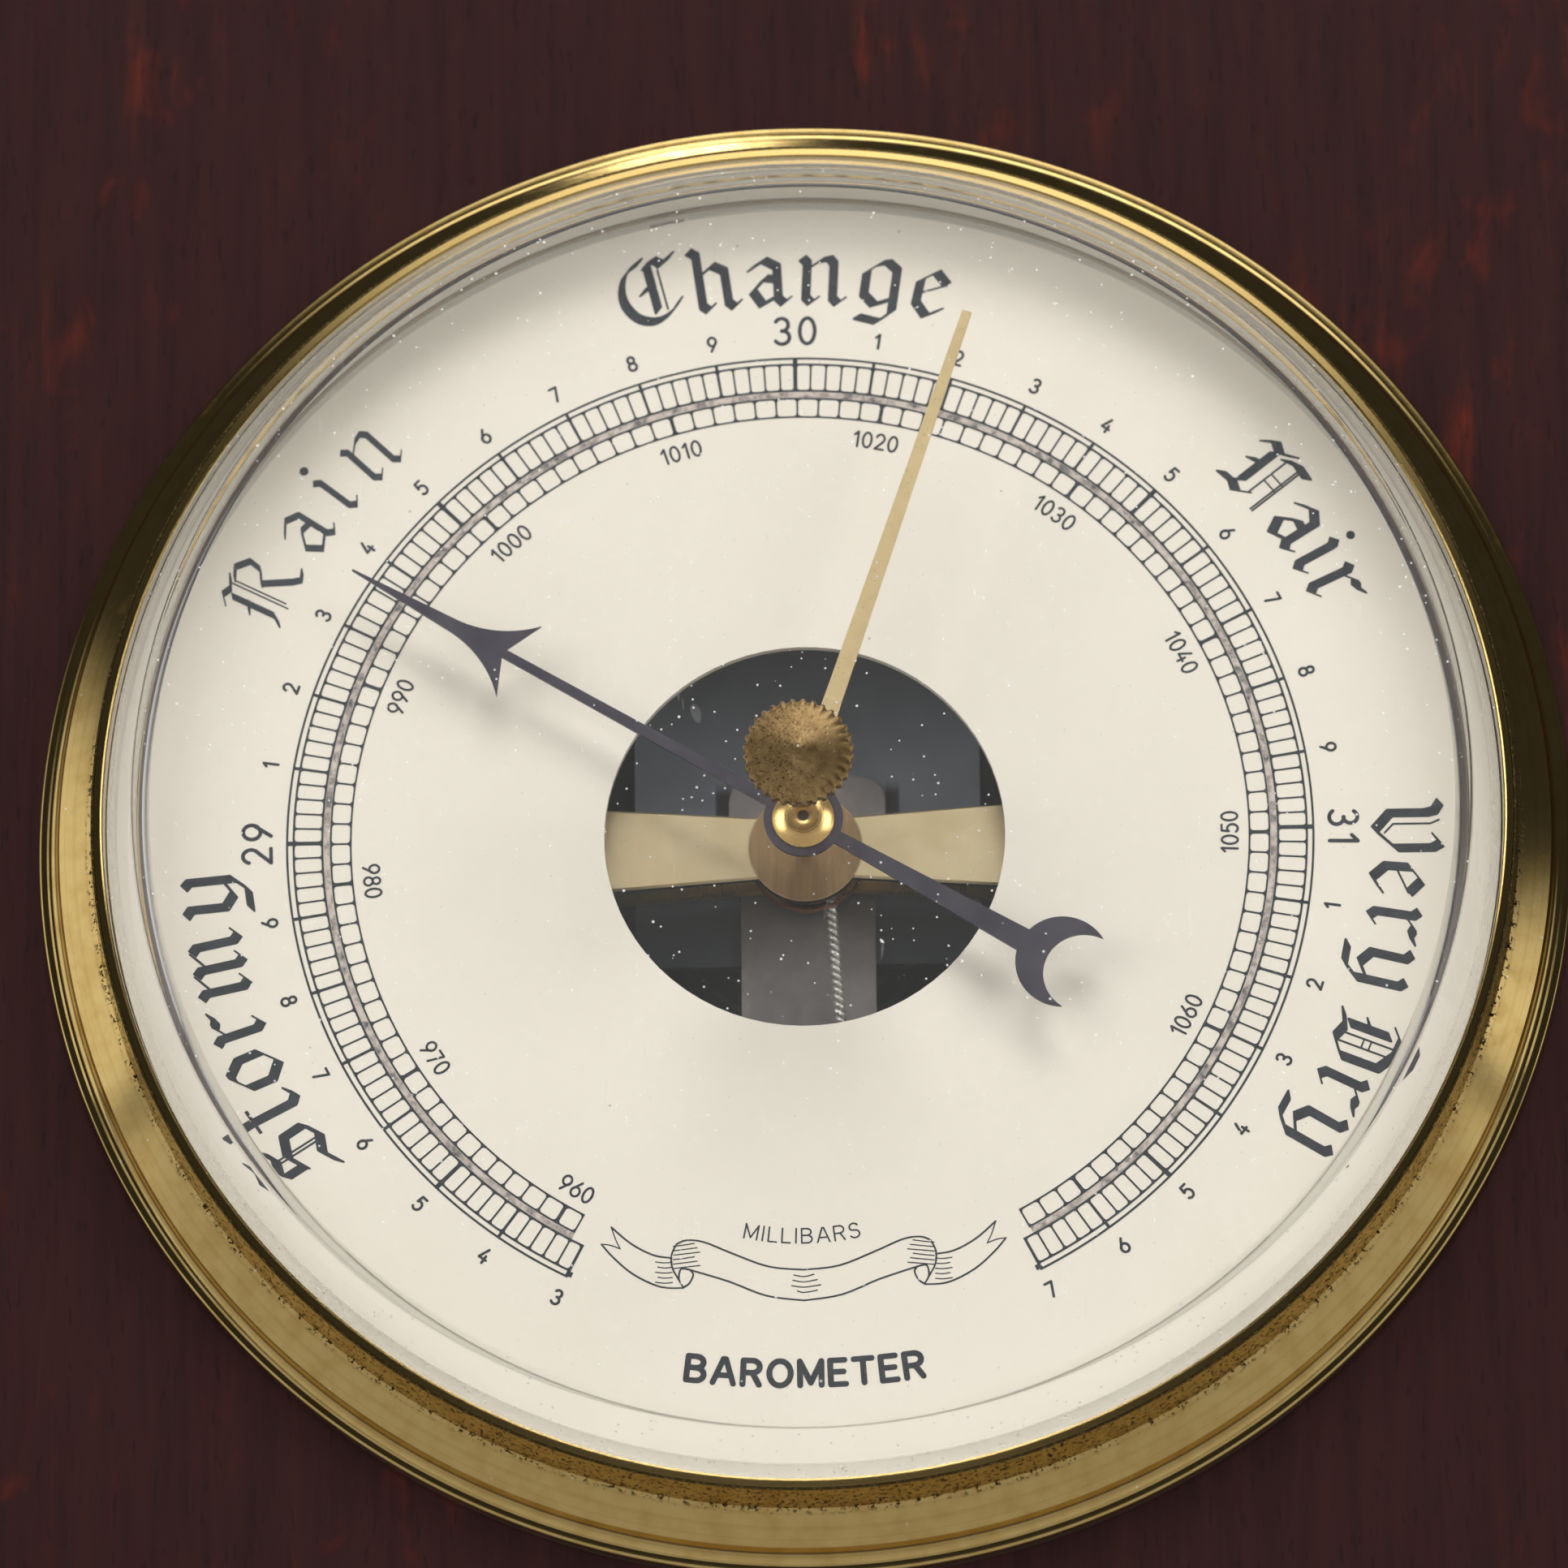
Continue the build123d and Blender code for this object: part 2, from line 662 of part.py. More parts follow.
# ---------------------------------------------------------------- mainspring, its bracket and the main lever
spring_half = 16.0
bracket_low = 36.0
bracket_high = 46.0
bracket_half = 17.0
bracket_top = spring_bottom - 0.2
clamp_bottom = spring_bottom + spring_thick + 0.2
clamp_thick = 1.6
bracket_mid = (bracket_low + bracket_high) / 2
bracket_deep = bracket_high - bracket_low

with BuildPart() as mainspring:
    with BuildSketch(at(spring_bottom)):
        with Locations((0, 18.5)):
            RectangleRounded(2 * spring_half, 53, 3)
        Circle(2.8, mode=Mode.SUBTRACT)
        with Locations(*clamp_places):
            Circle(1.9, mode=Mode.SUBTRACT)
        with Locations(*lever_rivet_places):
            Circle(0.92, mode=Mode.SUBTRACT)
    extrude(amount=spring_thick)
mainspring.part.label = "mainspring"

tail_low = -38.0
link_x = -2.75

with BuildPart() as main_lever:
    with BuildSketch(at(lever_bottom)):
        with BuildLine():
            Polyline((-7.25, 10.0), (7.25, 10.0), (7.25, 2.0), (6.2, -2.0), (6.2, -21.0), (-0.5, -26.0),
                     (-0.5, tail_low), (-5.0, tail_low), (-5.0, -26.0), (-6.2, -21.0), (-6.2, -2.0),
                     (-7.25, 2.0), close=True)
        make_face()
        fillet(vertices().group_by(Axis.Y)[-1], 2.4)
        Circle(2.8, mode=Mode.SUBTRACT)
        with Locations(*lever_rivet_places):
            Circle(0.92, mode=Mode.SUBTRACT)
        with Locations((link_x, crank_z)):
            Circle(0.82, mode=Mode.SUBTRACT)
    extrude(amount=lever_thick)
main_lever.part.label = "main_lever"

with BuildPart() as lever_rivets:
    extrude(discs(at(spring_bottom), 0.9, lever_rivet_places), amount=spring_thick + lever_thick)
    extrude(discs(at(spring_bottom), 1.5, lever_rivet_places), amount=-0.4)
lever_rivets.part.label = "lever_rivets"

eye_z = crank_z + 0.05

with BuildPart() as link_rod:
    extrude(discs(at(lever_bottom), 0.8, [(link_x, crank_z)]), amount=lever_thick + 0.3)
    with BuildSketch(at(crank_height + 1.0)):
        with Locations((link_x, crank_z)):
            Rectangle(1.2, 1.6)
    extrude(amount=lever_bottom - crank_height - 1.0)
    with BuildSketch(Plane.YZ.offset(link_x - 0.6)):
        with Locations((-(dial_face + crank_height), eye_z)):
            Circle(1.35)
    extrude(amount=1.2)
    with BuildSketch(Plane.YZ.offset(link_x - 0.6)):
        with Locations((-(dial_face + crank_height), eye_z)):
            Circle(0.75)
    extrude(amount=1.2, mode=Mode.SUBTRACT)
link_rod.part.label = "link_rod"

with BuildPart() as spring_bracket:
    with BuildSketch(at(base_top)):
        with Locations((0, bracket_mid)):
            Rectangle(2 * bracket_half, bracket_deep)
    extrude(amount=bracket_top - base_top)
    with BuildSketch(at(base_top)):
        with Locations((0, bracket_mid)):
            RectangleRounded(49, bracket_deep, 2)
    extrude(amount=2.5)
    with Locations(at(bracket_top)):
        with Locations((0, spring_screw_z)):
            Hole(2.05)
        with Locations(*clamp_places):
            Hole(1.32)
    with Locations(at(base_top + 2.5)):
        with Locations(*bracket_places):
            Hole(1.35, depth=2.5)
spring_bracket.part.label = "spring_bracket"

bracket_screws = screws(bracket_places, base_top + 2.5, 2.4, 1.4, 1.2, 4.5)
bracket_screws.part.label = "bracket_screws"

with BuildPart() as spring_clamp:
    with BuildSketch(at(clamp_bottom)):
        with Locations((0, bracket_mid)):
            Rectangle(2 * bracket_half, bracket_deep)
    extrude(amount=clamp_thick)
    with BuildSketch(at(bracket_top)):
        with Locations((-bracket_half + 0.35, bracket_mid), (bracket_half - 0.35, bracket_mid)):
            Rectangle(0.7, bracket_deep)
    extrude(amount=clamp_bottom - bracket_top)
    with Locations(at(clamp_bottom + clamp_thick)):
        with Locations(*clamp_places):
            Hole(1.32)
spring_clamp.part.label = "spring_clamp"

clamp_screws = screws(clamp_places, clamp_bottom + clamp_thick, 2.5, 1.5, 1.3, 10.0)
clamp_screws.part.label = "clamp_screws"

with BuildPart() as adjuster_screw:
    extrude(discs(at(base_bottom - 0.7), 3.2, [(0, spring_screw_z)]), amount=2.2)
    extrude(discs(at(base_bottom + 1.5), 2.0, [(0, spring_screw_z)]), amount=7.0)
    with BuildSketch(at(base_bottom - 0.7)):
        with Locations((0, spring_screw_z)):
            Rectangle(8, 0.9)
    extrude(amount=1.0, mode=Mode.SUBTRACT)
adjuster_screw.part.label = "adjuster_screw"

# ---------------------------------------------------------------- rocker and chain
rocker_depth = dial_face + rocker_height
foot_thick = 1.2
cheek_inner = 11.0
cheek_thick = 2.0
rocker_pivot_r = 0.8

with BuildPart() as rocker_bracket:
    with BuildSketch(at(base_top)):
        with Locations((0, rocker_z)):
            Rectangle(2 * (cheek_inner + cheek_thick), 9)
        with Locations(*rocker_foot_places):
            Circle(0.95, mode=Mode.SUBTRACT)
    extrude(amount=foot_thick)
    for side in (-cheek_inner - cheek_thick, cheek_inner):
        with BuildSketch(Plane.YZ.offset(side)):
            with BuildLine():
                Polyline((-(dial_face + base_top + 0.6), rocker_z - 4.5),
                         (-(dial_face + base_top + 0.6), rocker_z + 4.5),
                         (-rocker_depth - 2.2, rocker_z + 2.2), (-rocker_depth - 2.2, rocker_z - 2.2),
                         close=True)
            make_face()
            with Locations((-rocker_depth, rocker_z)):
                Circle(rocker_pivot_r + running_gap, mode=Mode.SUBTRACT)
        extrude(amount=cheek_thick)
rocker_bracket.part.label = "rocker_bracket"

rocker_foot_screws = screws(rocker_foot_places, base_top + foot_thick, 1.7, 1.1, 0.9, 3.0)
rocker_foot_screws.part.label = "rocker_foot_screws"

with BuildPart() as rocker_shaft:
    with BuildSketch(Plane.YZ.offset(-cheek_inner - 1.8)):
        with Locations((-rocker_depth, rocker_z)):
            Circle(rocker_pivot_r)
    extrude(amount=2 * (cheek_inner + 1.8))
    with BuildSketch(Plane.YZ.offset(-cheek_inner + 0.1)):
        with Locations((-rocker_depth, rocker_z)):
            Circle(1.1)
    extrude(amount=2 * (cheek_inner - 0.1))
rocker_shaft.part.label = "rocker_shaft"

tip_depth = dial_face + tip_height

with BuildPart() as rocker_arm:
    with BuildSketch(Plane.YZ.offset(arm_x)):
        with Locations((-rocker_depth, rocker_z)):
            Circle(2.4)
        with Locations((-tip_depth, tip_z)):
            Circle(0.95)
        make_hull()
        with Locations((-rocker_depth, rocker_z)):
            Circle(1.11, mode=Mode.SUBTRACT)
        with Locations((-tip_depth, tip_z)):
            Circle(0.36, mode=Mode.SUBTRACT)
    extrude(amount=arm_thick)
rocker_arm.part.label = "rocker_arm"

with BuildPart() as rocker_crank:
    with BuildSketch(Plane.YZ.offset(-4.7)):
        with Locations((-rocker_depth, rocker_z)):
            Circle(2.0)
        with Locations((-(dial_face + crank_height), crank_z)):
            Circle(0.9)
        make_hull()
        with Locations((-rocker_depth, rocker_z)):
            Circle(1.11, mode=Mode.SUBTRACT)
    extrude(amount=1.2)
    with BuildSketch(Plane.YZ.offset(-4.7)):
        with Locations((-(dial_face + crank_height), crank_z)):
            Circle(0.45)
    extrude(amount=3.0)
rocker_crank.part.label = "rocker_crank"

with BuildPart() as chain_pin:
    with BuildSketch(Plane.YZ.offset(3.3)):
        with Locations((-tip_depth, tip_z)):
            Circle(0.35)
    extrude(amount=arm_x + arm_thick - 3.3)
chain_pin.part.label = "chain_pin"

chain_end = (1.9, -(dial_face - 6.4), 0)
chain_start = (chain_x, -tip_depth, tip_z + 0.75)

with BuildPart() as chain:
    with BuildSketch(Plane.YZ.offset(chain_x - 0.4)):
        with Locations((-tip_depth, tip_z)):
            Circle(1.0)
    extrude(amount=0.8)
    with BuildLine() as run:
        Line(chain_start, chain_end)
    with BuildSketch(run.line ^ 0):
        Circle(chain_r)
    sweep()
    with BuildSketch(Plane.YZ.offset(chain_x - 0.6)):
        with Locations((-tip_depth, tip_z)):
            Circle(0.42)
    extrude(amount=1.2, mode=Mode.SUBTRACT)
chain.part.label = "chain"

# ---------------------------------------------------------------- write every piece
pieces = [
    backboard, hanger_plate, hanger_screws, case, case_nuts, case_bolts, dial_seat, bezel,
    retaining_ring, lens, lens_bush, knob, set_shaft, friction_washer, set_hand, dial, dial_feet,
    dial_pillars, pointer, hub, arbor, chain_drum, chain_wrap, hairspring, hairspring_collet,
    hairspring_stud, base_plate, base_screws, bridge_pillars, pillar_sleeves, lower_cock, bridge,
    bridge_screws, capsule_lower, capsule_upper, capsule_foot, capsule_post, capsule_pin, mainspring,
    main_lever, lever_rivets, link_rod, spring_bracket, bracket_screws, spring_clamp, clamp_screws,
    adjuster_screw, rocker_bracket, rocker_foot_screws, rocker_shaft, rocker_arm, rocker_crank,
    chain_pin, chain,
]
for piece in pieces:
    export_step(piece.part, f"parts/{piece.part.label}.step")
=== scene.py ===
import json
import math
import random

import bpy
from mathutils import Matrix, Vector, geometry


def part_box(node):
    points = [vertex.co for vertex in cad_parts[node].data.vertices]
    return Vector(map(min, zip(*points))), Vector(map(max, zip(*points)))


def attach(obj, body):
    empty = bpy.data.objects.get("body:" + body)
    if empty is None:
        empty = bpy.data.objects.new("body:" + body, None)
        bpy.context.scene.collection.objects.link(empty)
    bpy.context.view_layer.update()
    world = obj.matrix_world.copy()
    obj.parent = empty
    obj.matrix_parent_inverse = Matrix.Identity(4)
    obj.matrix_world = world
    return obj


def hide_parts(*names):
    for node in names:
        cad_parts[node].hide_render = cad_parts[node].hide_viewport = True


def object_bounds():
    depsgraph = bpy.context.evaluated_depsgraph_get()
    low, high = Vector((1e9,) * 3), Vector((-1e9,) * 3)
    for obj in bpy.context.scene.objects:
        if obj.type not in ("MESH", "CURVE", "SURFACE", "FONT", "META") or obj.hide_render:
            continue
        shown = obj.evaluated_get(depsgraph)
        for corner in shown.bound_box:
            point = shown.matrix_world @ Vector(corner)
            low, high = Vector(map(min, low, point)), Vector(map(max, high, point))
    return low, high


# Looks of the ship barometer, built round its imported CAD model. Scene units are metres; dial work is in
# millimetres on the dial face (right, up) and is converted when its mesh is made.

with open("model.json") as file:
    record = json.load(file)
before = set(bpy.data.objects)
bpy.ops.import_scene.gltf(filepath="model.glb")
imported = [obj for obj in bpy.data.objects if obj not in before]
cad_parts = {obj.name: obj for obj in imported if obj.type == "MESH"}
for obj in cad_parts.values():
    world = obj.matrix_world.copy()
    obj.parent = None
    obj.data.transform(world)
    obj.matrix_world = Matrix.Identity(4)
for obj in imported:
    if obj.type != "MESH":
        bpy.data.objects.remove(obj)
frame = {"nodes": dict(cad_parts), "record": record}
cad_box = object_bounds()
nodes = frame["nodes"]
MM = 0.001
DIAL_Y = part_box("dial")[0].y


# ---------------------------------------------------------------- node trees
def tone(red, green, blue):
    """An 8-bit display colour as the linear colour that nodes take."""
    def linear(value):
        value /= 255
        return value / 12.92 if value <= 0.04045 else ((value + 0.055) / 1.055) ** 2.4
    return (linear(red), linear(green), linear(blue), 1.0)


class Finish:
    """One material's node tree, with the few node recipes that the finishes share."""

    def __init__(self, name, kind="materials"):
        self.material = getattr(bpy.data, kind).new(name)
        self.material.use_nodes = True
        self.tree = self.material.node_tree
        self.tree.nodes.clear()
        self.place = self.add("ShaderNodeTexCoord").outputs["Object" if kind == "materials" else "Generated"]

    def add(self, kind, inputs=None, **settings):
        node = self.tree.nodes.new(kind)
        for key, value in settings.items():
            setattr(node, key, value)
        for key, value in (inputs or {}).items():
            if isinstance(value, bpy.types.NodeSocket):
                self.tree.links.new(value, node.inputs[key])
            else:
                node.inputs[key].default_value = value
        return node

    def sums(self, operation, first, second=0.0, third=0.0):
        inputs = {0: first, 1: second, 2: third}
        return self.add("ShaderNodeMath", inputs, operation=operation).outputs[0]

    def stretch(self, scale):
        inputs = {0: self.place, 1: scale}
        return self.add("ShaderNodeVectorMath", inputs, operation="MULTIPLY").outputs[0]

    def noise(self, scale, detail=3.0, rough=0.55, warp=0.0):
        """Noise with a scale per axis, in features per metre."""
        scale = scale if isinstance(scale, tuple) else (scale,) * 3
        inputs = {"Vector": self.stretch(scale), "Scale": 1.0, "Detail": detail, "Roughness": rough,
                  "Distortion": warp}
        return self.add("ShaderNodeTexNoise", inputs).outputs["Fac"]

    def spots(self, scale, size, share=1.0):
        """Round specks: 1 in a speck's middle, 0 outside. Share is how many cells hold one."""
        cell = self.add("ShaderNodeTexVoronoi", {"Vector": self.place, "Scale": scale})
        body = self.step(cell.outputs["Distance"], size, size * 0.6)
        split = self.add("ShaderNodeSeparateColor", {0: cell.outputs["Color"]})
        return self.sums("MULTIPLY", body, self.step(split.outputs[0], share, share - 0.01))

    def step(self, value, low, high):
        """0 at low, 1 at high, eased between, whichever way round they are."""
        inputs = {"Value": value, "From Min": low, "From Max": high}
        return self.add("ShaderNodeMapRange", inputs, interpolation_type="SMOOTHSTEP").outputs[0]

    def radius(self):
        """Distance from the barometer's axis, in metres."""
        flat = self.stretch((1.0, 0.0, 1.0))
        return self.add("ShaderNodeVectorMath", {0: flat}, operation="LENGTH").outputs["Value"]

    def turned(self, scale, detail=2.0):
        """Fine rings about the axis, as a lathe leaves."""
        inputs = {"W": self.radius(), "Scale": scale, "Detail": detail, "Roughness": 0.7}
        return self.add("ShaderNodeTexNoise", inputs, noise_dimensions="1D").outputs["Fac"]

    def mix(self, share, first, second):
        inputs = {0: share, 6: first, 7: second}
        return self.add("ShaderNodeMix", inputs, data_type="RGBA").outputs[2]

    def blend(self, share, first, second):
        inputs = {0: share, 2: first, 3: second}
        return self.add("ShaderNodeMix", inputs).outputs[0]

    def bump(self, height, depth, under=None):
        """Height 0 to 1 raised by depth in metres."""
        inputs = {"Height": height, "Distance": depth, "Strength": 1.0}
        if under is not None:
            inputs["Normal"] = under
        return self.add("ShaderNodeBump", inputs).outputs[0]

    def coat(self, **inputs):
        names = {key.replace("_", " ").title().replace("Ior", "IOR"): value for key, value in inputs.items()}
        return self.add("ShaderNodeBsdfPrincipled", names).outputs[0]

    def done(self, shader):
        self.add("ShaderNodeOutputMaterial", {0: shader})
        return self.material


# ---------------------------------------------------------------- finishes
def mahogany():
    f = Finish("mahogany")
    figure = f.noise((26.0, 26.0, 13.0), 4.0, 0.6, 0.8)
    blotch = f.noise((230.0, 230.0, 110.0), 4.0, 0.62, 0.5)
    streaks = f.noise((620.0, 620.0, 42.0), 4.0, 0.62, 0.3)
    fine = f.noise((2600.0, 2600.0, 260.0), 3.0, 0.6)
    pores = f.step(f.noise((2300.0, 2300.0, 420.0), 1.0, 0.4), 0.66, 0.74)
    warm = f.sums("MULTIPLY", f.step(figure, 0.38, 0.66), f.step(blotch, 0.47, 0.72))
    warm = f.sums("ADD", f.sums("MULTIPLY", warm, 0.75),
                  f.sums("MULTIPLY", f.step(streaks, 0.55, 0.78), f.step(figure, 0.42, 0.7)))
    ground = f.mix(f.step(streaks, 0.32, 0.68), tone(45, 26, 26), tone(52, 30, 28))
    ground = f.mix(f.sums("MULTIPLY", f.step(warm, 0.0, 1.3), 0.85), ground, tone(92, 36, 26))
    ground = f.mix(f.sums("MULTIPLY", f.step(fine, 0.45, 0.75), 0.22), ground, tone(36, 27, 34))
    ground = f.mix(f.sums("MULTIPLY", pores, 0.35), ground, tone(24, 18, 22))
    dust = f.sums("MAXIMUM", f.spots(95.0, 0.045, 0.16), f.spots(260.0, 0.05, 0.03))
    ground = f.mix(f.sums("MULTIPLY", dust, 0.30), ground, tone(160, 140, 142))
    facing = f.add("ShaderNodeSeparateXYZ", {0: f.add("ShaderNodeNewGeometry").outputs["True Normal"]})
    back = f.step(facing.outputs[1], 0.8, 0.95)
    ground = f.mix(back, ground, f.mix(streaks, tone(84, 52, 38), tone(120, 78, 55)))
    grain = f.bump(f.sums("SUBTRACT", fine, pores), 0.00002)
    lacquer = f.bump(f.noise(210.0, 2.0), 0.00003)
    front = f.sums("SUBTRACT", 1.0, back)
    worn = f.step(f.noise((120.0, 120.0, 120.0), 5.0, 0.7), 0.35, 0.75)
    return f.done(f.coat(
        base_color=ground, roughness=f.blend(back, 0.38, 0.7), specular_ior_level=0.08,
        coat_weight=f.sums("MULTIPLY", front, 0.7), coat_roughness=f.blend(worn, 0.05, 0.12),
        coat_normal=lacquer, normal=grain))


def brass(name, bright, dull, rough, marks="turned", age=0.25, grit=0.0):
    """Brass with a bright and a tarnished colour. Marks are turned rings or brushed lines."""
    f = Finish(name)
    cloud = f.noise(160.0, 5.0, 0.6, 0.3)
    stain = f.step(f.noise(520.0, 6.0, 0.7), 0.5, 0.78)
    share = f.sums("MULTIPLY", f.sums("ADD", f.step(cloud, 0.4, 0.75), stain), age, 0.0)
    colour = f.mix(share, bright, dull)
    if marks == "turned":
        lines = f.turned(9000.0)
    else:
        lines = f.noise(marks, 3.0, 0.6)
    scratch = f.step(f.noise((3000.0, 900.0, 180.0), 2.0, 0.5), 0.70, 0.74)
    depth = f.bump(lines, 0.0000035)
    depth = f.bump(f.sums("MULTIPLY", scratch, -1.0), 0.000004, depth)
    if grit:
        specks = f.spots(2600.0, 0.30, grit)
        colour = f.mix(f.sums("MULTIPLY", specks, 0.6), colour, dull)
        depth = f.bump(f.sums("MULTIPLY", specks, -1.0), 0.00001, depth)
    surface = f.blend(share, rough, min(1.0, rough + 0.25))
    surface = f.sums("ADD", surface, f.sums("MULTIPLY", f.sums("SUBTRACT", lines, 0.5), 0.12))
    return f.done(f.coat(base_color=colour, metallic=1.0, roughness=surface, normal=depth))


def bezel_finish():
    """Polished brass: a brushed inner slope, fine lathe rings, and grime against the crest."""
    f = Finish("bezel_brass")
    radius = f.radius()
    slope = f.step(radius, 0.0687, 0.0684)
    rings = f.turned(16000.0, 3.0)
    broad = f.turned(2600.0, 2.0)
    around = f.noise(420.0, 4.0, 0.55)
    crust = f.sums("MULTIPLY", f.step(f.noise(2300.0, 3.0, 0.7), 0.53, 0.62),
                   f.sums("MULTIPLY", f.step(radius, 0.0662, 0.0656), f.step(radius, 0.0645, 0.0652)))
    colour = f.mix(f.step(around, 0.35, 0.8), tone(220, 192, 126), tone(204, 172, 104))
    colour = f.mix(f.sums("MULTIPLY", f.step(broad, 0.5, 0.7), 0.22), colour, tone(160, 130, 74))
    colour = f.mix(crust, colour, tone(40, 34, 22))
    dust = f.spots(1500.0, 0.20, 0.04)
    colour = f.mix(dust, colour, tone(235, 228, 205))
    rough = f.sums("ADD", f.blend(slope, 0.06, 0.12), f.sums("MULTIPLY", f.step(around, 0.5, 0.85), 0.10))
    rough = f.sums("ADD", rough, f.sums("MULTIPLY", crust, 0.4))
    depth = f.bump(rings, 0.0000035)
    depth = f.bump(f.noise(1100.0, 3.0, 0.6), 0.000003, depth)
    return f.done(f.coat(base_color=colour, metallic=1.0, roughness=rough, normal=depth))


def ring_finish():
    """The slim ring that holds the lens: brass at its front edge, pale lined where the lens stands in it."""
    f = Finish("ring_lined")
    depth = f.add("ShaderNodeSeparateXYZ", {0: f.place}).outputs[1]
    lined = f.step(depth, DIAL_Y - 0.0088, DIAL_Y - 0.0084)
    rings = f.turned(16000.0, 3.0)
    colour = f.mix(lined, tone(214, 184, 118), tone(226, 218, 204))
    return f.done(f.coat(base_color=colour, metallic=f.sums("SUBTRACT", 1.0, lined),
                         roughness=f.blend(lined, 0.12, 0.45), normal=f.bump(rings, 0.000004)))


def knob_finish():
    """Aged brass, pitted mostly to the left, with worn bright flecks to the right."""
    f = Finish("knob_brass")
    side = f.add("ShaderNodeSeparateXYZ", {0: f.place}).outputs[0]
    left = f.step(side, 0.0022, -0.0020)
    pits = f.step(f.noise(4200.0, 3.0, 0.6), 0.55, 0.64)
    fine = f.noise(6200.0, 4.0, 0.7)
    mottle = f.noise(900.0, 4.0, 0.6)
    colour = f.mix(f.step(mottle, 0.35, 0.7), tone(176, 148, 102), tone(146, 118, 80))
    colour = f.mix(f.sums("MULTIPLY", pits, f.blend(left, 0.25, 0.95)), colour, tone(74, 52, 34))
    colour = f.mix(f.sums("MULTIPLY", f.step(fine, 0.58, 0.72), 0.6), colour, tone(222, 198, 142))
    colour = f.mix(f.step(f.radius(), 0.00017, 0.00009), colour, tone(255, 240, 205))
    rough = f.blend(left, 0.34, 0.46)
    depth = f.bump(f.sums("MULTIPLY", pits, f.blend(left, -0.25, -1.0)), 0.000007)
    depth = f.bump(fine, 0.0000025, depth)
    round_it = f.add("ShaderNodeTangent", direction_type="RADIAL", axis="Y").outputs[0]
    return f.done(f.coat(base_color=colour, metallic=0.92, roughness=rough, anisotropic=0.7,
                         tangent=round_it, normal=depth))


def steel(name, light, dark, rough, metallic=0.9, brushed=(4200.0, 900.0, 260.0), lift=0.000004):
    f = Finish(name)
    lines = f.noise(brushed, 3.0, 0.6)
    cloud = f.noise(240.0, 4.0, 0.6)
    colour = f.mix(f.step(cloud, 0.3, 0.75), light, dark)
    colour = f.mix(f.sums("MULTIPLY", f.step(lines, 0.45, 0.75), 0.25), colour, light)
    colour = f.mix(f.sums("MULTIPLY", f.spots(2400.0, 0.24, 0.05), 0.7), colour, dark)
    surface = f.sums("ADD", rough, f.sums("MULTIPLY", f.sums("SUBTRACT", lines, 0.5), 0.2))
    return f.done(f.coat(base_color=colour, metallic=metallic, roughness=surface, normal=f.bump(lines, lift)))


def bridge_finish():
    """Fine satin brass, browner on the disc round the arbor, with painted shade on the faces that turn away from
    the front.
    """
    f = Finish("bridge_brass")
    lines = f.noise((2400.0, 700.0, 160.0), 3.0, 0.6)
    cloud = f.noise(170.0, 4.0, 0.6, 0.3)
    colour = f.mix(f.step(cloud, 0.35, 0.75), tone(224, 206, 166), tone(212, 192, 150))
    disc = f.step(f.radius(), 0.0054, 0.0051)
    colour = f.mix(disc, colour, f.mix(f.step(lines, 0.35, 0.7), tone(150, 124, 92), tone(162, 136, 101)))
    facing = f.add("ShaderNodeSeparateXYZ", {0: f.add("ShaderNodeNewGeometry").outputs["True Normal"]})
    # painted shade: faces turned away from the front, the edges and the back, are darkened as if in shade
    edge = f.step(facing.outputs[1], -0.75, -0.35)
    colour = f.mix(edge, colour, tone(46, 38, 30))
    surface = f.sums("ADD", 0.42, f.sums("MULTIPLY", f.sums("SUBTRACT", lines, 0.5), 0.15))
    return f.done(f.coat(base_color=colour, metallic=1.0, roughness=surface, normal=f.bump(lines, 0.000003)))


def mainspring_finish():
    """Blue-grey spring steel, smooth, with a painted shadow along both sides of the lever's foot and painted shade
    over the part below the bridge.
    """
    f = Finish("mainspring_steel")
    place = f.add("ShaderNodeSeparateXYZ", {0: f.place})
    side, rise = f.sums("ABSOLUTE", place.outputs[0]), place.outputs[2]
    low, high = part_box("main_lever")
    edge = high.x
    # painted shadow: a dark band along both sides of the lever's foot, standing in for the shade in the gap beside
    # the lever
    gap = f.sums("MULTIPLY", f.step(side, edge - 0.1 * MM, edge + 0.1 * MM),
                 f.step(side, edge + 1.4 * MM, edge + 1.1 * MM))
    gap = f.sums("MULTIPLY", gap, f.step(rise, high.z + 0.2 * MM, high.z - 1.4 * MM))
    gap = f.sums("MULTIPLY", gap, f.step(rise, -1.0 * MM, 0.5 * MM))
    cloud = f.noise(120.0, 3.0, 0.5)
    colour = f.mix(f.step(cloud, 0.3, 0.75), tone(132, 137, 146), tone(118, 123, 133))
    # painted shade: the spring is darker below the bridge, where the bridge's shadow falls
    colour = f.mix(f.step(rise, -1.0 * MM, -4.0 * MM), colour, tone(74, 78, 85))
    # the painted shadow beside the lever, laid on as a dark colour
    colour = f.mix(f.sums("MULTIPLY", gap, 0.85), colour, tone(34, 38, 46))
    grain = f.noise(1500.0, 3.0, 0.6)
    return f.done(f.coat(base_color=colour, metallic=0.25, roughness=f.blend(grain, 0.3, 0.4),
                         normal=f.bump(grain, 0.000002)))


def lacquered(name, light, dark, rough, metallic=0.0, lift=0.00001):
    """Dark paint or japanning, with faint mottling and dust."""
    f = Finish(name)
    grain = f.noise(1900.0, 4.0, 0.6)
    colour = f.mix(f.step(f.noise(130.0, 3.0), 0.3, 0.7), light, dark)
    dust = f.spots(1100.0, 0.16, 0.14)
    colour = f.mix(f.sums("MULTIPLY", dust, 0.5), colour, tone(150, 152, 155))
    surface = f.sums("ADD", rough, f.sums("MULTIPLY", grain, 0.15))
    return f.done(f.coat(base_color=colour, metallic=metallic, roughness=surface, coat_weight=0.35,
                         coat_roughness=0.18, normal=f.bump(grain, lift)))


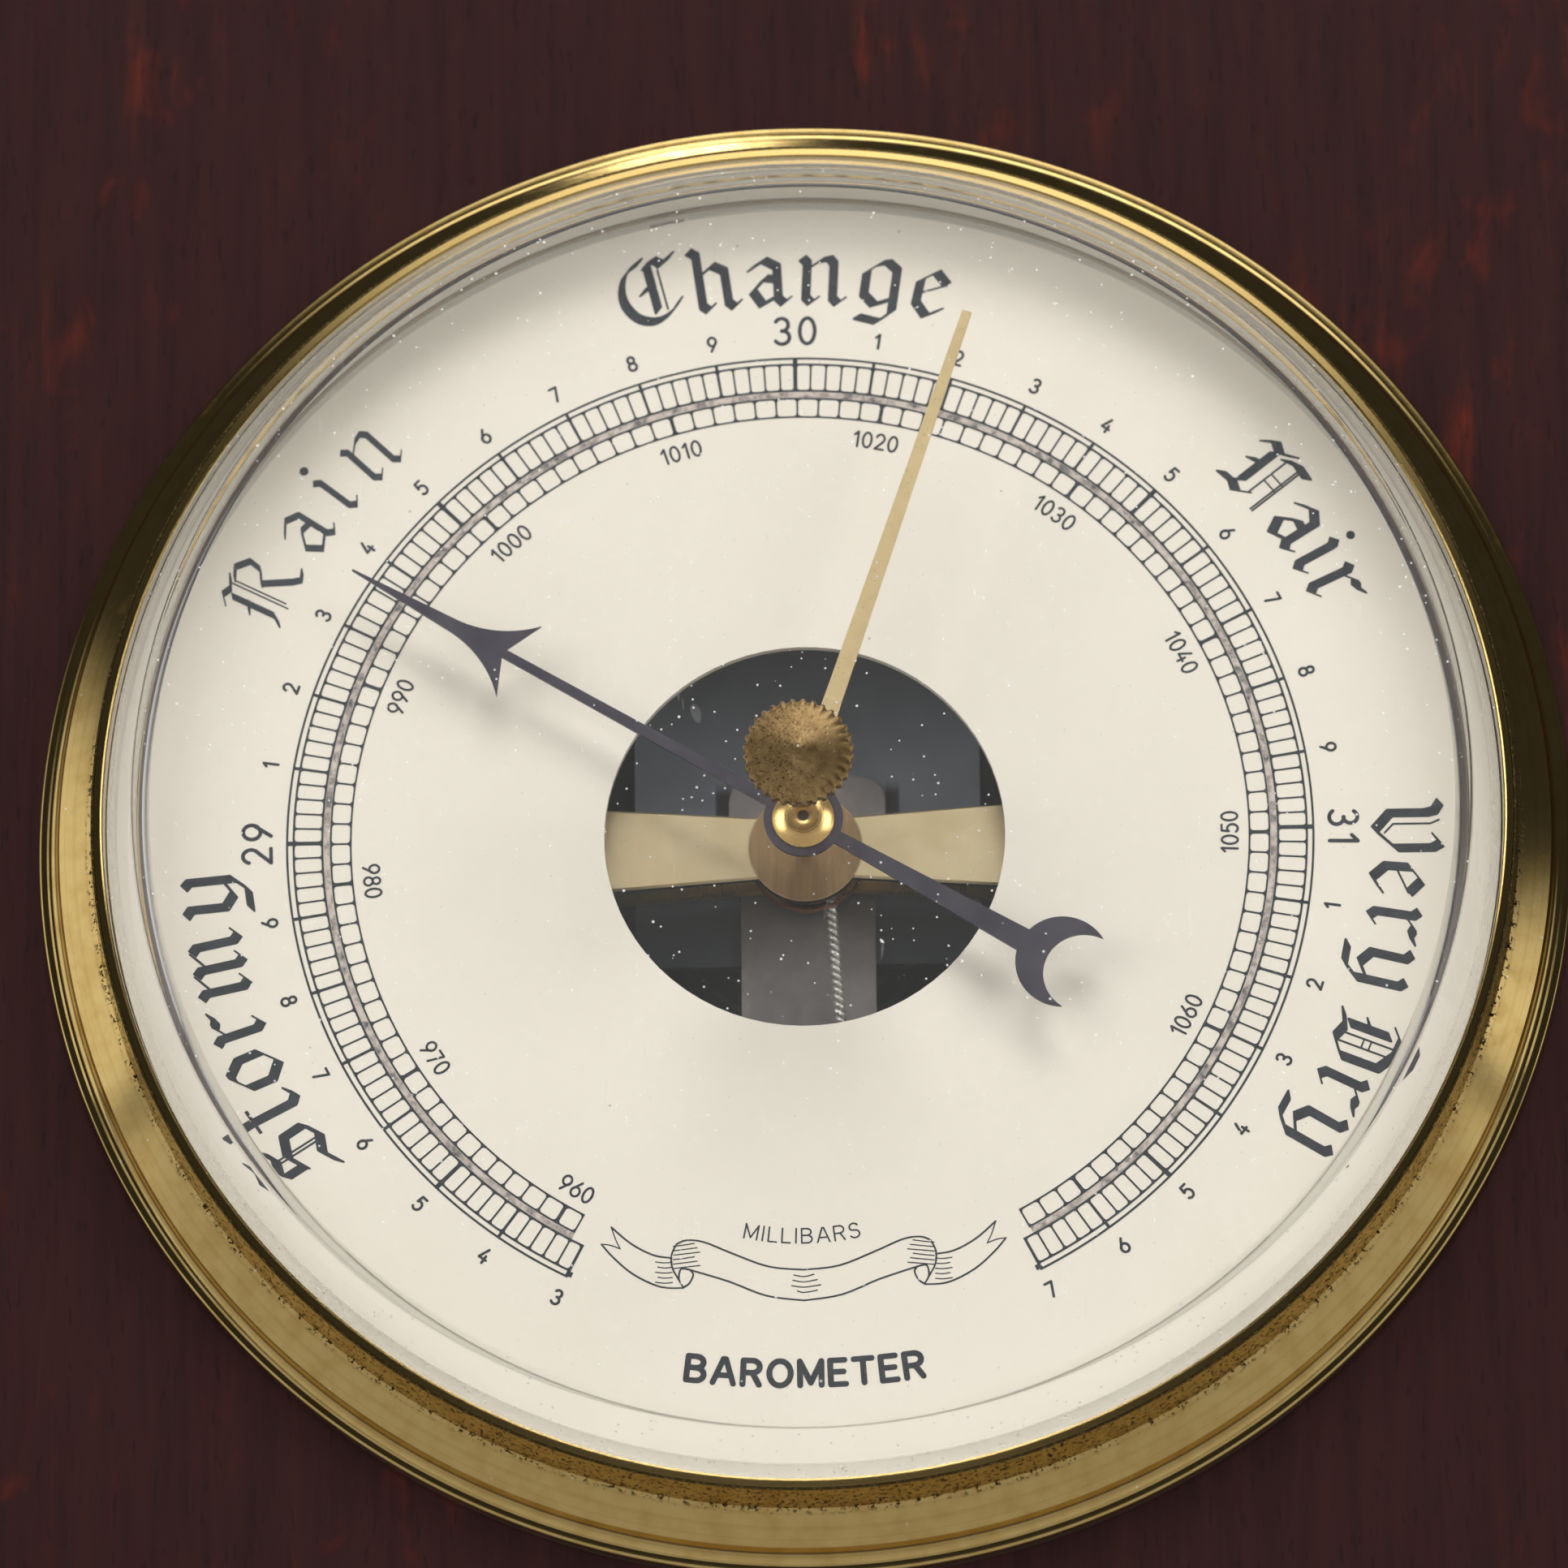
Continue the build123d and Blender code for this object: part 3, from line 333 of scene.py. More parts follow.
def enamel():
    f = Finish("dial_enamel")
    cloud = f.noise(45.0, 4.0, 0.6)
    colour = f.mix(f.step(cloud, 0.3, 0.7), tone(235, 227, 214), tone(231, 223, 209))
    specks = f.spots(330.0, 0.05, 0.16)
    colour = f.mix(f.sums("MULTIPLY", specks, 0.6), colour, tone(120, 100, 84))
    pale = f.spots(520.0, 0.05, 0.10)
    colour = f.mix(f.sums("MULTIPLY", pale, 0.8), colour, tone(250, 247, 240))
    depth = f.bump(f.noise(900.0, 3.0, 0.5), 0.000005)
    return f.done(f.coat(base_color=colour, roughness=0.42, specular_ior_level=0.35, normal=depth))


def ink(name, dark, gap=0.0):
    """Screen print: slate ink, mottled, with a few pinholes."""
    f = Finish(name)
    mottle = f.noise(1300.0, 4.0, 0.6)
    colour = f.mix(f.step(mottle, 0.35, 0.75), dark, tone(52, 57, 62))
    holes = f.step(f.noise(5200.0, 2.0, 0.5), 0.735 - gap, 0.78 - gap)
    colour = f.mix(f.sums("MULTIPLY", holes, 0.7), colour, tone(190, 183, 172))
    return f.done(f.coat(base_color=colour, roughness=0.5, specular_ior_level=0.3,
                         normal=f.bump(mottle, 0.000006)))


def clear_lens():
    """Clear plastic that lets light through to the dial, with dust and hair scratches on it."""
    f = Finish("lens_clear")
    clear = f.coat(base_color=(0.985, 0.99, 0.99, 1.0), transmission_weight=1.0, ior=1.46, roughness=0.0)
    through = f.add("ShaderNodeBsdfTransparent", {0: (0.97, 0.975, 0.97, 1.0)}).outputs[0]
    path = f.add("ShaderNodeLightPath")
    unseen = f.sums("MAXIMUM", path.outputs["Is Shadow Ray"], path.outputs["Is Diffuse Ray"])
    body = f.add("ShaderNodeMixShader", {0: unseen, 1: clear, 2: through}).outputs[0]
    dust = f.sums("MAXIMUM", f.spots(420.0, 0.070, 0.40), f.spots(1000.0, 0.13, 0.34))
    hair = f.step(f.noise((300.0, 300.0, 60.0), 1.0, 0.3, 2.5), 0.775, 0.785)
    haze = f.blend(f.noise(60.0, 3.0, 0.6), 0.016, 0.032)
    marks = f.sums("MAXIMUM", f.sums("MAXIMUM", dust, haze), f.sums("MULTIPLY", hair, 0.10))
    marks = f.sums("MULTIPLY", marks, f.sums("SUBTRACT", 1.0, unseen))
    grey = f.add("ShaderNodeBsdfDiffuse", {0: (0.82, 0.82, 0.80, 1.0)}).outputs[0]
    return f.done(f.add("ShaderNodeMixShader", {0: f.sums("MULTIPLY", marks, 0.75), 1: body, 2: grey}).outputs[0])


finishes = {
    "mahogany": mahogany(),
    "brass_plain": brass("brass_plain", tone(214, 184, 118), tone(140, 106, 62), 0.28),
    "case_brass": brass("case_brass", tone(196, 166, 104), tone(116, 86, 50), 0.30, age=0.4),
    "bezel_brass": bezel_finish(),
    "knob_brass": knob_finish(),
    "set_hand_brass": brass("set_hand_brass", tone(212, 190, 144), tone(176, 150, 106), 0.46,
                            (2600.0, 2600.0, 500.0), 0.3, 0.35),
    "hub_brass": brass("hub_brass", tone(232, 194, 124), tone(190, 142, 76), 0.24, age=0.2),
    "bridge_brass": bridge_finish(),
    "lens_clear": clear_lens(),
    "dial_enamel": enamel(),
    "blued_steel": steel("blued_steel", tone(74, 70, 80), tone(56, 52, 64), 0.38, 0.5),
    "spring_steel": steel("spring_steel", tone(122, 126, 132), tone(100, 104, 112), 0.34, 0.35,
                          (1500.0, 1500.0, 900.0), 0.000003),
    "lever_steel": steel("lever_steel", tone(140, 134, 132), tone(122, 116, 114), 0.40, 0.30,
                         (1500.0, 1500.0, 500.0), 0.000003),
    "chain_steel": steel("chain_steel", tone(228, 224, 216), tone(180, 176, 170), 0.28, 0.5),
    "hairspring_bronze": steel("hairspring_bronze", tone(196, 122, 78), tone(140, 80, 50), 0.30, 0.95),
    "capsule_metal": lacquered("capsule_metal", tone(44, 48, 52), tone(30, 34, 38), 0.28, 0.3),
    "bracket_iron": lacquered("bracket_iron", tone(84, 88, 94), tone(66, 70, 76), 0.34, 0.2),
}
for row in frame["record"]["subparts"]:
    shown = nodes[row["node"]]
    shown.data.materials.clear()
    shown.data.materials.append(finishes[row["material_slot"]])
nodes["mainspring"].data.materials[0] = mainspring_finish()
ink_dark = ink("dial_ink", tone(34, 38, 43))
ink_thin = ink("dial_ink_thin", tone(50, 54, 60), 0.03)


# ---------------------------------------------------------------- meshes
def piece(name, points, faces, body, material, smooth=False):
    """A new object from points in metres, riding on a body."""
    mesh = bpy.data.meshes.new(name)
    mesh.from_pydata([tuple(p) for p in points], [], faces)
    mesh.validate()
    mesh.update()
    if smooth:
        mesh.polygons.foreach_set("use_smooth", [True] * len(mesh.polygons))
    mesh.materials.append(material)
    made = bpy.data.objects.new(name, mesh)
    bpy.context.scene.collection.objects.link(made)
    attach(made, body)
    return made


# ---------------------------------------------------------------- strokes of a pen, as flat shapes
def round_nib(width, sides=10):
    turn = 2 * math.pi / sides
    return [(width / 2 * math.cos(i * turn), width / 2 * math.sin(i * turn)) for i in range(sides)]


def broad_nib(width, thick, slant):
    along = Vector((math.cos(slant), math.sin(slant))) * width / 2
    across = Vector((-math.sin(slant), math.cos(slant))) * thick / 2
    return [tuple(along + across), tuple(across - along), tuple(-along - across), tuple(along - across)]


def smooth_path(points, steps=6, closed=False):
    """A curve through the points."""
    spots = [Vector(p) for p in points]
    count = len(spots)
    found = []
    for i in range(count if closed else count - 1):
        if closed:
            a, b, c, d = (spots[(i + k) % count] for k in (-1, 0, 1, 2))
        else:
            a, b, c, d = spots[max(i - 1, 0)], spots[i], spots[i + 1], spots[min(i + 2, count - 1)]
        for k in range(steps):
            t = k / steps
            found.append(0.5 * (2 * b + (c - a) * t + (2 * a - 5 * b + 4 * c - d) * t ** 2
                                + (3 * b - a - 3 * c + d) * t ** 3))
    found.append(found[0] if closed else spots[-1])
    return found


def arc(cx, cy, rx, ry, start, end, steps=10):
    """Points round an ellipse, angles in degrees anticlockwise from the right."""
    turns = [math.radians(start + (end - start) * i / steps) for i in range(steps + 1)]
    return [(cx + rx * math.cos(a), cy + ry * math.sin(a)) for a in turns]


def sweep(path, nib):
    """The shapes that a nib covers along a path, one convex shape per step."""
    shapes = []
    for a, b in zip(path, path[1:]):
        cloud = [(x + p[0], y + p[1]) for p in (a, b) for x, y in nib]
        shapes.append([cloud[i] for i in geometry.convex_hull_2d(cloud)])
    return shapes


def flatten(solids, holes=()):
    """Solid shapes less the holes, as points and triangles."""
    points, faces = [], []
    for shape in list(solids) + list(holes):
        area = sum(a[0] * b[1] - b[0] * a[1] for a, b in zip(shape, shape[1:] + shape[:1]))
        shape = shape if area > 0 else shape[::-1]
        faces.append(list(range(len(points), len(points) + len(shape))))
        points += [Vector(p) for p in shape]
    made = geometry.delaunay_2d_cdt(points, [], faces, 1, 1e-5)
    kept = [face for face, source in zip(made[2], made[5])
            if source and all(i < len(solids) for i in source)]
    return [tuple(p) for p in made[0]], [tuple(face) for face in kept]


INK_THICK = 0.03
INK_SUNK = 0.01
PRINT_SHIFT = -0.45       # the print sits this far left of the axis


def print_on_dial(name, shapes, material):
    """Raises flat shapes (points in mm, triangles) from the dial face as closed, thin solids."""
    spots, index, faces = [], {}, []
    for points, triangles in shapes:
        for triangle in triangles:
            face = []
            for i in triangle:
                key = (round(points[i][0], 4), round(points[i][1], 4))
                if key not in index:
                    index[key] = len(spots)
                    spots.append(key)
                face.append(index[key])
            if len(set(face)) < 3:
                continue
            a, b, c = (spots[i] for i in face)
            turn = (b[0] - a[0]) * (c[1] - a[1]) - (c[0] - a[0]) * (b[1] - a[1])
            if abs(turn) > 1e-9:
                faces.append(tuple(face) if turn > 0 else tuple(face[::-1]))
    count = len(spots)
    edges = {}
    for face in faces:
        for a, b in zip(face, face[1:] + face[:1]):
            edges[(a, b)] = edges.get((a, b), 0) + 1
    walls = [(a, a + count, b + count, b) for a, b in edges if (b, a) not in edges]
    top = [((x + PRINT_SHIFT) * MM, DIAL_Y - INK_THICK * MM, y * MM) for x, y in spots]
    low = [((x + PRINT_SHIFT) * MM, DIAL_Y + INK_SUNK * MM, y * MM) for x, y in spots]
    under = [tuple(i + count for i in face[::-1]) for face in faces]
    return piece(name, top + low, faces + under + walls, "case", material)


# ---------------------------------------------------------------- letters and digits
def digit_paths():
    """Plain digits, 1 tall."""
    bowl = arc(0.29, 0.31, 0.27, 0.31, 0, 360, 16)
    return {
        "0": (0.58, [arc(0.29, 0.5, 0.27, 0.5, 0, 360, 20)]),
        "1": (0.34, [[(0.05, 0.78), (0.27, 1.0), (0.27, 0.0)]]),
        "2": (0.58, [arc(0.29, 0.71, 0.25, 0.29, 165, -35, 10) + [(0.03, 0.0), (0.56, 0.0)]]),
        "3": (0.58, [arc(0.27, 0.75, 0.24, 0.25, 150, -90, 10), arc(0.27, 0.26, 0.27, 0.26, 90, -150, 12)]),
        "4": (0.60, [[(0.36, 1.0), (0.03, 0.28), (0.58, 0.28)], [(0.43, 0.52), (0.43, 0.0)]]),
        "5": (0.56, [[(0.50, 1.0), (0.12, 1.0), (0.07, 0.56)] + arc(0.25, 0.33, 0.28, 0.33, 115, -140, 12)]),
        "6": (0.58, [bowl, [(0.42, 1.0), (0.06, 0.42)]]),
        "7": (0.54, [[(0.02, 1.0), (0.50, 1.0), (0.18, 0.0)]]),
        "8": (0.58, [arc(0.29, 0.76, 0.22, 0.24, 0, 360, 14), arc(0.29, 0.27, 0.27, 0.27, 0, 360, 16)]),
        "9": (0.58, [[(0.58 - x, 1.0 - y) for x, y in bowl], [(0.16, 0.0), (0.52, 0.58)]]),
    }


def capital_paths():
    """Plain capitals, 1 tall."""
    return {
        "A": (0.82, [[(0.0, 0.0), (0.36, 1.0), (0.46, 1.0), (0.82, 0.0)], [(0.13, 0.32), (0.69, 0.32)]]),
        "B": (0.70, [[(0.0, 0.0), (0.0, 1.0), (0.36, 1.0)] + arc(0.36, 0.765, 0.27, 0.235, 90, -90, 8)
                     + [(0.0, 0.53)], [(0.36, 0.53)] + arc(0.38, 0.265, 0.31, 0.265, 90, -90, 8)
                     + [(0.0, 0.0)]]),
        "E": (0.60, [[(0.58, 1.0), (0.0, 1.0), (0.0, 0.0), (0.60, 0.0)], [(0.0, 0.52), (0.52, 0.52)]]),
        "I": (0.05, [[(0.02, 0.0), (0.02, 1.0)]]),
        "L": (0.56, [[(0.0, 1.0), (0.0, 0.0), (0.56, 0.0)]]),
        "M": (0.86, [[(0.0, 0.0), (0.0, 1.0), (0.43, 0.10), (0.86, 1.0), (0.86, 0.0)]]),
        "O": (0.88, [arc(0.44, 0.5, 0.43, 0.51, 0, 360, 24)]),
        "R": (0.68, [[(0.0, 0.0), (0.0, 1.0), (0.38, 1.0)] + arc(0.38, 0.745, 0.28, 0.255, 90, -90, 8)
                     + [(0.0, 0.49)], [(0.38, 0.49), (0.66, 0.0)]]),
        "S": (0.66, [arc(0.33, 0.75, 0.29, 0.25, 25, 230, 10) + arc(0.33, 0.26, 0.32, 0.27, 60, -155, 12)]),
        "T": (0.72, [[(0.0, 1.0), (0.72, 1.0)], [(0.36, 1.0), (0.36, 0.0)]]),
    }


def minim(x, tall=4.75):
    return [(x - 0.38, tall), (x, tall - 0.45), (x, 0.8), (x + 0.42, 0.3), (x + 0.8, 0.68)]


def black_paths():
    """Blackletter in mm: capitals 6.4 tall, small letters 4.9. Each letter is (width, pen paths, fine paths)."""
    bowl_left = [(1.7, 4.7), (0.6, 3.6), (0.6, 1.35), (1.75, 0.2)]
    return {
        "S": (5.2, [[(1.3, 4.8), (2.0, 5.3), (3.2, 4.9), (4.5, 5.5)], [(1.35, 4.9), (1.35, 3.1)],
                    [(1.2, 3.0), (2.9, 3.8), (4.7, 3.1), (4.75, 1.0)],
                    [(0.0, 0.1), (1.6, 0.9), (3.2, 0.2), (4.75, 1.0)]], [[(2.75, 4.8), (2.75, 0.6)],
                                                                          [(3.1, 4.7), (3.1, 0.7)]]),
        "R": (6.0, [[(0.1, 5.6), (0.8, 6.2), (1.6, 5.8), (2.7, 6.4)], [(1.0, 5.3), (1.0, 1.0), (0.4, 0.1)],
                    [(0.3, 3.2), (1.1, 3.6)], [(2.6, 5.9), (3.7, 6.4), (4.8, 5.4), (4.5, 4.2), (3.2, 3.4)],
                    [(3.3, 3.4), (4.7, 0.9), (5.2, 0.3), (6.0, 0.6)]],
              [[(2.15, 6.0), (2.15, 0.1)], [(2.5, 5.6), (2.5, 0.5)]]),
        "C": (5.8, [smooth_path([(2.8, 6.5), (1.2, 5.6), (0.45, 4.0), (0.5, 2.4), (1.4, 0.9), (2.9, 0.3),
                                 (4.4, 0.8), (5.5, 1.8)], 4),
                    [(3.3, 5.8), (3.3, 1.3)], [(3.1, 5.9), (4.1, 6.3), (4.7, 5.8), (5.8, 6.4)],
                    [(2.3, 3.4), (3.2, 3.8)]], [[(4.2, 5.6), (4.2, 1.2)]]),
        "F": (5.8, [[(0.3, 5.3), (1.0, 6.1), (2.1, 5.6), (3.3, 6.4)], [(3.0, 5.6), (4.2, 6.1), (5.7, 5.9)],
                    [(1.8, 5.3), (1.8, 1.2), (1.2, 0.6)], [(0.7, 3.3), (1.8, 3.7)],
                    [(0.0, 0.3), (1.4, 0.5), (2.3, 0.1), (3.1, 0.8)]],
              [[(4.6, 5.8), (4.6, 0.0)], [(4.85, 5.8), (4.85, 0.0)], [(3.2, 5.5), (3.2, 1.0)],
               [(3.2, 3.7), (4.8, 3.7)], [(3.2, 2.8), (4.8, 2.8)]]),
        "V": (4.9, [[(0.0, 6.3), (0.8, 5.8), (1.0, 5.0), (1.0, 1.7), (2.6, 0.3), (4.4, 2.2), (4.4, 5.6),
                     (4.0, 6.3), (3.3, 5.8)]], [[(1.7, 6.2), (2.05, 5.4), (2.05, 2.0), (2.9, 1.2)]]),
        "D": (4.6, [[(0.2, 5.3), (1.0, 6.0), (2.5, 5.9), (4.1, 4.9), (4.1, 1.3)],
                    [(0.0, 0.1), (1.3, 0.7), (2.6, 0.2), (4.1, 1.3)], [(0.9, 4.9), (0.9, 1.0)],
                    [(0.2, 2.6), (0.9, 3.0)]],
              [[(1.9, 5.5), (1.9, 0.7)], [(2.8, 5.4), (2.8, 0.6)], [(1.9, 3.5), (2.8, 3.5)],
               [(1.9, 2.8), (2.8, 2.8)]]),
        "a": (3.4, [[(0.4, 3.9), (1.5, 4.7), (2.5, 4.0), (2.5, 0.8), (2.9, 0.3), (3.3, 0.65)],
                    [(2.5, 2.7), (1.5, 2.9), (0.5, 1.6), (1.2, 0.25), (2.4, 1.0)]], []),
        "e": (3.3, [[(2.6, 1.0), (1.6, 0.2), (0.6, 1.35), (0.6, 3.6), (1.7, 4.7), (2.7, 3.7)]],
              [[(2.75, 3.6), (0.7, 2.3)]]),
        "g": (3.6, [[(1.6, 4.7), (0.6, 3.7), (0.6, 1.4), (1.5, 0.5), (2.8, 1.2)],
                    [(1.6, 4.7), (2.2, 4.9), (3.0, 4.2), (3.0, 0.0), (2.0, -1.15), (0.3, -0.9)]], []),
        "h": (3.8, [[(0.3, 6.4), (0.8, 5.9), (0.8, 0.75), (1.2, 0.3), (1.6, 0.65)],
                    [(0.9, 3.8), (2.0, 4.7), (2.9, 4.0), (2.9, 0.8), (3.3, 0.3), (3.7, 0.65)]], []),
        "i": (1.8, [minim(0.75)], []),
        "m": (6.1, [minim(0.7), minim(2.65), minim(4.6), [(0.9, 3.8), (2.0, 4.75)], [(2.85, 3.8), (3.95, 4.75)]],
              []),
        "n": (4.1, [minim(0.7), [(0.9, 3.8), (1.8, 4.6), (2.5, 4.8), (2.85, 4.3), (2.85, 0.8), (3.25, 0.3),
                                 (3.65, 0.68)]], []),
        "o": (3.6, [bowl_left, [(1.7, 4.7), (2.1, 4.8), (3.05, 3.6), (3.05, 1.5), (1.75, 0.2)]], []),
        "r": (3.1, [minim(0.75), [(1.9, 4.5), (2.3, 4.3), (2.9, 4.6)]], [[(0.95, 3.7), (2.0, 4.75)]]),
        "t": (2.3, [[(0.9, 6.1), (1.0, 5.2), (1.0, 0.8), (1.5, 0.25), (2.2, 0.7)]],
              [[(0.0, 4.6), (2.1, 4.85)], [(0.0, 4.75), (2.1, 5.0)]]),
        "y": (3.5, [[(0.2, 4.75), (0.7, 4.3), (0.7, 1.1), (1.7, 0.25), (2.8, 1.1)],
                    [(2.6, 4.75), (3.0, 4.3), (3.0, 0.2), (2.0, -1.1), (0.4, -1.2)]], []),
    }


def plain_set(paths, tall, stroke):
    """Glyphs swept with a round nib: name to (width, points, triangles)."""
    nib = round_nib(stroke)
    made = {}
    for letter, (wide, strokes) in paths.items():
        inner = tall - stroke
        shapes = []
        for path in strokes:
            shapes += sweep([(x * inner, y * inner + stroke / 2) for x, y in path], nib)
        made[letter] = (wide * inner,) + flatten(shapes)
    return made


SMALL_LETTER_WIDTH = 1.16


def black_set(width, hair):
    """Glyphs swept with a slanted broad nib and, for fine lines, a thin round one."""
    nib = broad_nib(width, hair, math.radians(40))
    fine = round_nib(hair * 1.1, 6)
    made = {}
    for letter, (wide, strokes, fine_strokes) in black_paths().items():
        open_out = SMALL_LETTER_WIDTH if letter.islower() else 1.0
        shapes = []
        for paths, pen in ((strokes, nib), (fine_strokes, fine)):
            for path in paths:
                shapes += sweep([(x * open_out, y) for x, y in path], pen)
        if letter == "i":
            shapes.append([(0.85 + x, 6.25 + y) for x, y in round_nib(0.85, 12)])
        made[letter] = (wide * open_out,) + flatten(shapes)
    return made


def set_line(glyphs, text, radius, middle, gap, inward=False, centre_y=0.0, start=None):
    """Sets text round the dial. Middle is the text's middle angle in degrees clockwise from the top, radius
    that of its foot; start, where given, is the angle of its first edge instead. A space is two gaps wide."""
    wide = {" ": 2.6 * gap}
    wide.update({letter: glyph[0] for letter, glyph in glyphs.items()})
    total = sum(wide[letter] for letter in text) + gap * (len(text) - 1)
    way = -1 if inward else 1
    first = math.radians(middle) - way * total / 2 / radius if start is None else math.radians(start)
    shapes = []
    along = 0.0
    for letter in text:
        if letter != " ":
            half = wide[letter] / 2
            angle = first + way * (along + half) / radius
            up = Vector((math.sin(angle), math.cos(angle))) * way
            right = Vector((up.y, -up.x))
            foot = Vector((math.sin(angle), math.cos(angle))) * radius + Vector((0.0, centre_y))
            _, points, triangles = glyphs[letter]
            shapes.append(([tuple(foot + right * (x - half) + up * y) for x, y in points], triangles))
        along += wide[letter] + gap
    return shapes


# ---------------------------------------------------------------- scales
INCH_MIDDLE = 30.0
DEGREES_PER_INCH = 90.0
MILLIBARS_PER_INCH = 33.8639
SWEEP_END = 153.0


def ring_part(inner, outer, start, end, steps=90):
    """A sector of a ring as one outline, angles in degrees clockwise from the top."""
    turns = [math.radians(start + (end - start) * i / steps) for i in range(steps + 1)]
    return ([(outer * math.sin(a), outer * math.cos(a)) for a in turns]
            + [(inner * math.sin(a), inner * math.cos(a)) for a in reversed(turns)])


def window(inner, outer, start, end, left, right, corner):
    """A round-cornered cell between two angles, drawn in from them by left and right mm."""
    middle = (inner + outer) / 2
    angle = math.radians((start + end) / 2)
    half = math.radians(end - start) / 2 * middle
    low, high = -half + left, half - right
    corners = [(high - corner, outer - corner, 0), (low + corner, outer - corner, 90),
               (low + corner, inner + corner, 180), (high - corner, inner + corner, 270)]
    path = []
    for s, r, turn in corners:
        path += arc(s, r, corner, corner, turn, turn + 90, 3)
    return [(r * math.sin(angle + s / middle), r * math.cos(angle + s / middle)) for s, r in path]


def ladder(inner, outer, rail, marks, thickness, corner):
    """A band of cells. Marks are angles; thickness gives each mark's half width."""
    solid = [ring_part(inner, outer, marks[0], marks[-1], 240)]
    holes = [window(inner + rail, outer - rail, marks[i], marks[i + 1], thickness[i], thickness[i + 1], corner)
             for i in range(len(marks) - 1)]
    return flatten(solid, holes)


def inch_scale():
    steps = 170
    marks = [-SWEEP_END + 2 * SWEEP_END * i / steps for i in range(steps + 1)]
    weight = []
    for i in range(steps + 1):
        tenth = i / 5 + 283
        weight.append(0.19 if tenth % 5 == 0 else 0.13 if i % 5 == 0 else 0.085)
    weight[0] = weight[-1] = 0.26
    parts = [ladder(43.72, 46.55, 0.20, marks, weight, 0.24)]
    extra = [ring_part(46.95, 47.15, -SWEEP_END, SWEEP_END, 240)]
    for i in range(0, steps + 1, 5):
        half = math.degrees((weight[i] * 1.15) / 46.8)
        extra.append(ring_part(46.5, 47.0, marks[i] - half, marks[i] + half, 1))
    parts.append(flatten(extra))
    return print_on_dial("print_inch_scale", parts, ink_dark)


def millibar_angle(value):
    return (value / MILLIBARS_PER_INCH - INCH_MIDDLE) * DEGREES_PER_INCH


def millibar_scale():
    values = list(range(959, 1074))
    marks = [millibar_angle(value) for value in values]
    weight = [0.17 if value % 10 == 0 else 0.085 for value in values]
    weight[0] = weight[-1] = 0.16
    return print_on_dial("print_millibar_scale", [ladder(41.12, 43.12, 0.17, marks, weight, 0.3)], ink_dark)


def numerals():
    small = plain_set(digit_paths(), 1.62, 0.25)
    large = plain_set(digit_paths(), 2.95, 0.36)
    inner = plain_set(digit_paths(), 1.70, 0.22)
    shapes = []
    for tenth in range(283, 318):
        angle = (tenth / 10 - INCH_MIDDLE) * DEGREES_PER_INCH
        inward = tenth < 290 or tenth > 310
        if tenth % 10 == 0:
            shapes += set_line(large, str(tenth // 10), 48.35, angle, 0.75)
        else:
            foot = 50.0 if inward else 48.4
            shapes += set_line(small, str(tenth % 10), foot, angle, 0.3, inward)
    for value in range(960, 1061, 10):
        inward = value < 990 or value > 1040
        foot = 40.25 if inward else 38.5
        shapes += set_line(inner, str(value), foot, millibar_angle(value), 0.32, inward)
    return print_on_dial("print_numerals", shapes, ink_dark)


def words():
    foot = 52.35
    bold = black_set(0.98, 0.17)
    light = black_set(0.68, 0.13)
    shapes = set_line(bold, "Stormy", foot - 0.5, 0.0, 0.62, start=-126.0)
    shapes += set_line(bold, "Change", foot, 0.0, 0.62, start=-17.3)
    shapes += set_line(bold, "Fair", foot, 0.0, 0.45, start=48.3)
    shapes += set_line(bold, "Very", foot, 0.0, 0.36, start=87.6)
    shapes += set_line(bold, "Dry", foot, 0.0, 0.45, start=109.8)
    print_on_dial("print_words", shapes, ink_dark)
    shapes = set_line(light, "Rain", foot, 0.0, 1.45, start=-66.3)
    return print_on_dial("print_word_rain", shapes, ink_thin)


def title():
    bold = plain_set(capital_paths(), 2.8, 0.55)
    thin = plain_set(capital_paths(), 1.5, 0.15)
    arc_r, unit_r = 80.0, 25.0
    shapes = set_line(bold, "BAROMETER", arc_r, 180.0, 0.86, True, arc_r - 52.75)
    shapes += set_line(thin, "MILLIBARS", unit_r, 180.3, 0.50, True, unit_r - 39.15)
    return print_on_dial("print_title", shapes, ink_dark)


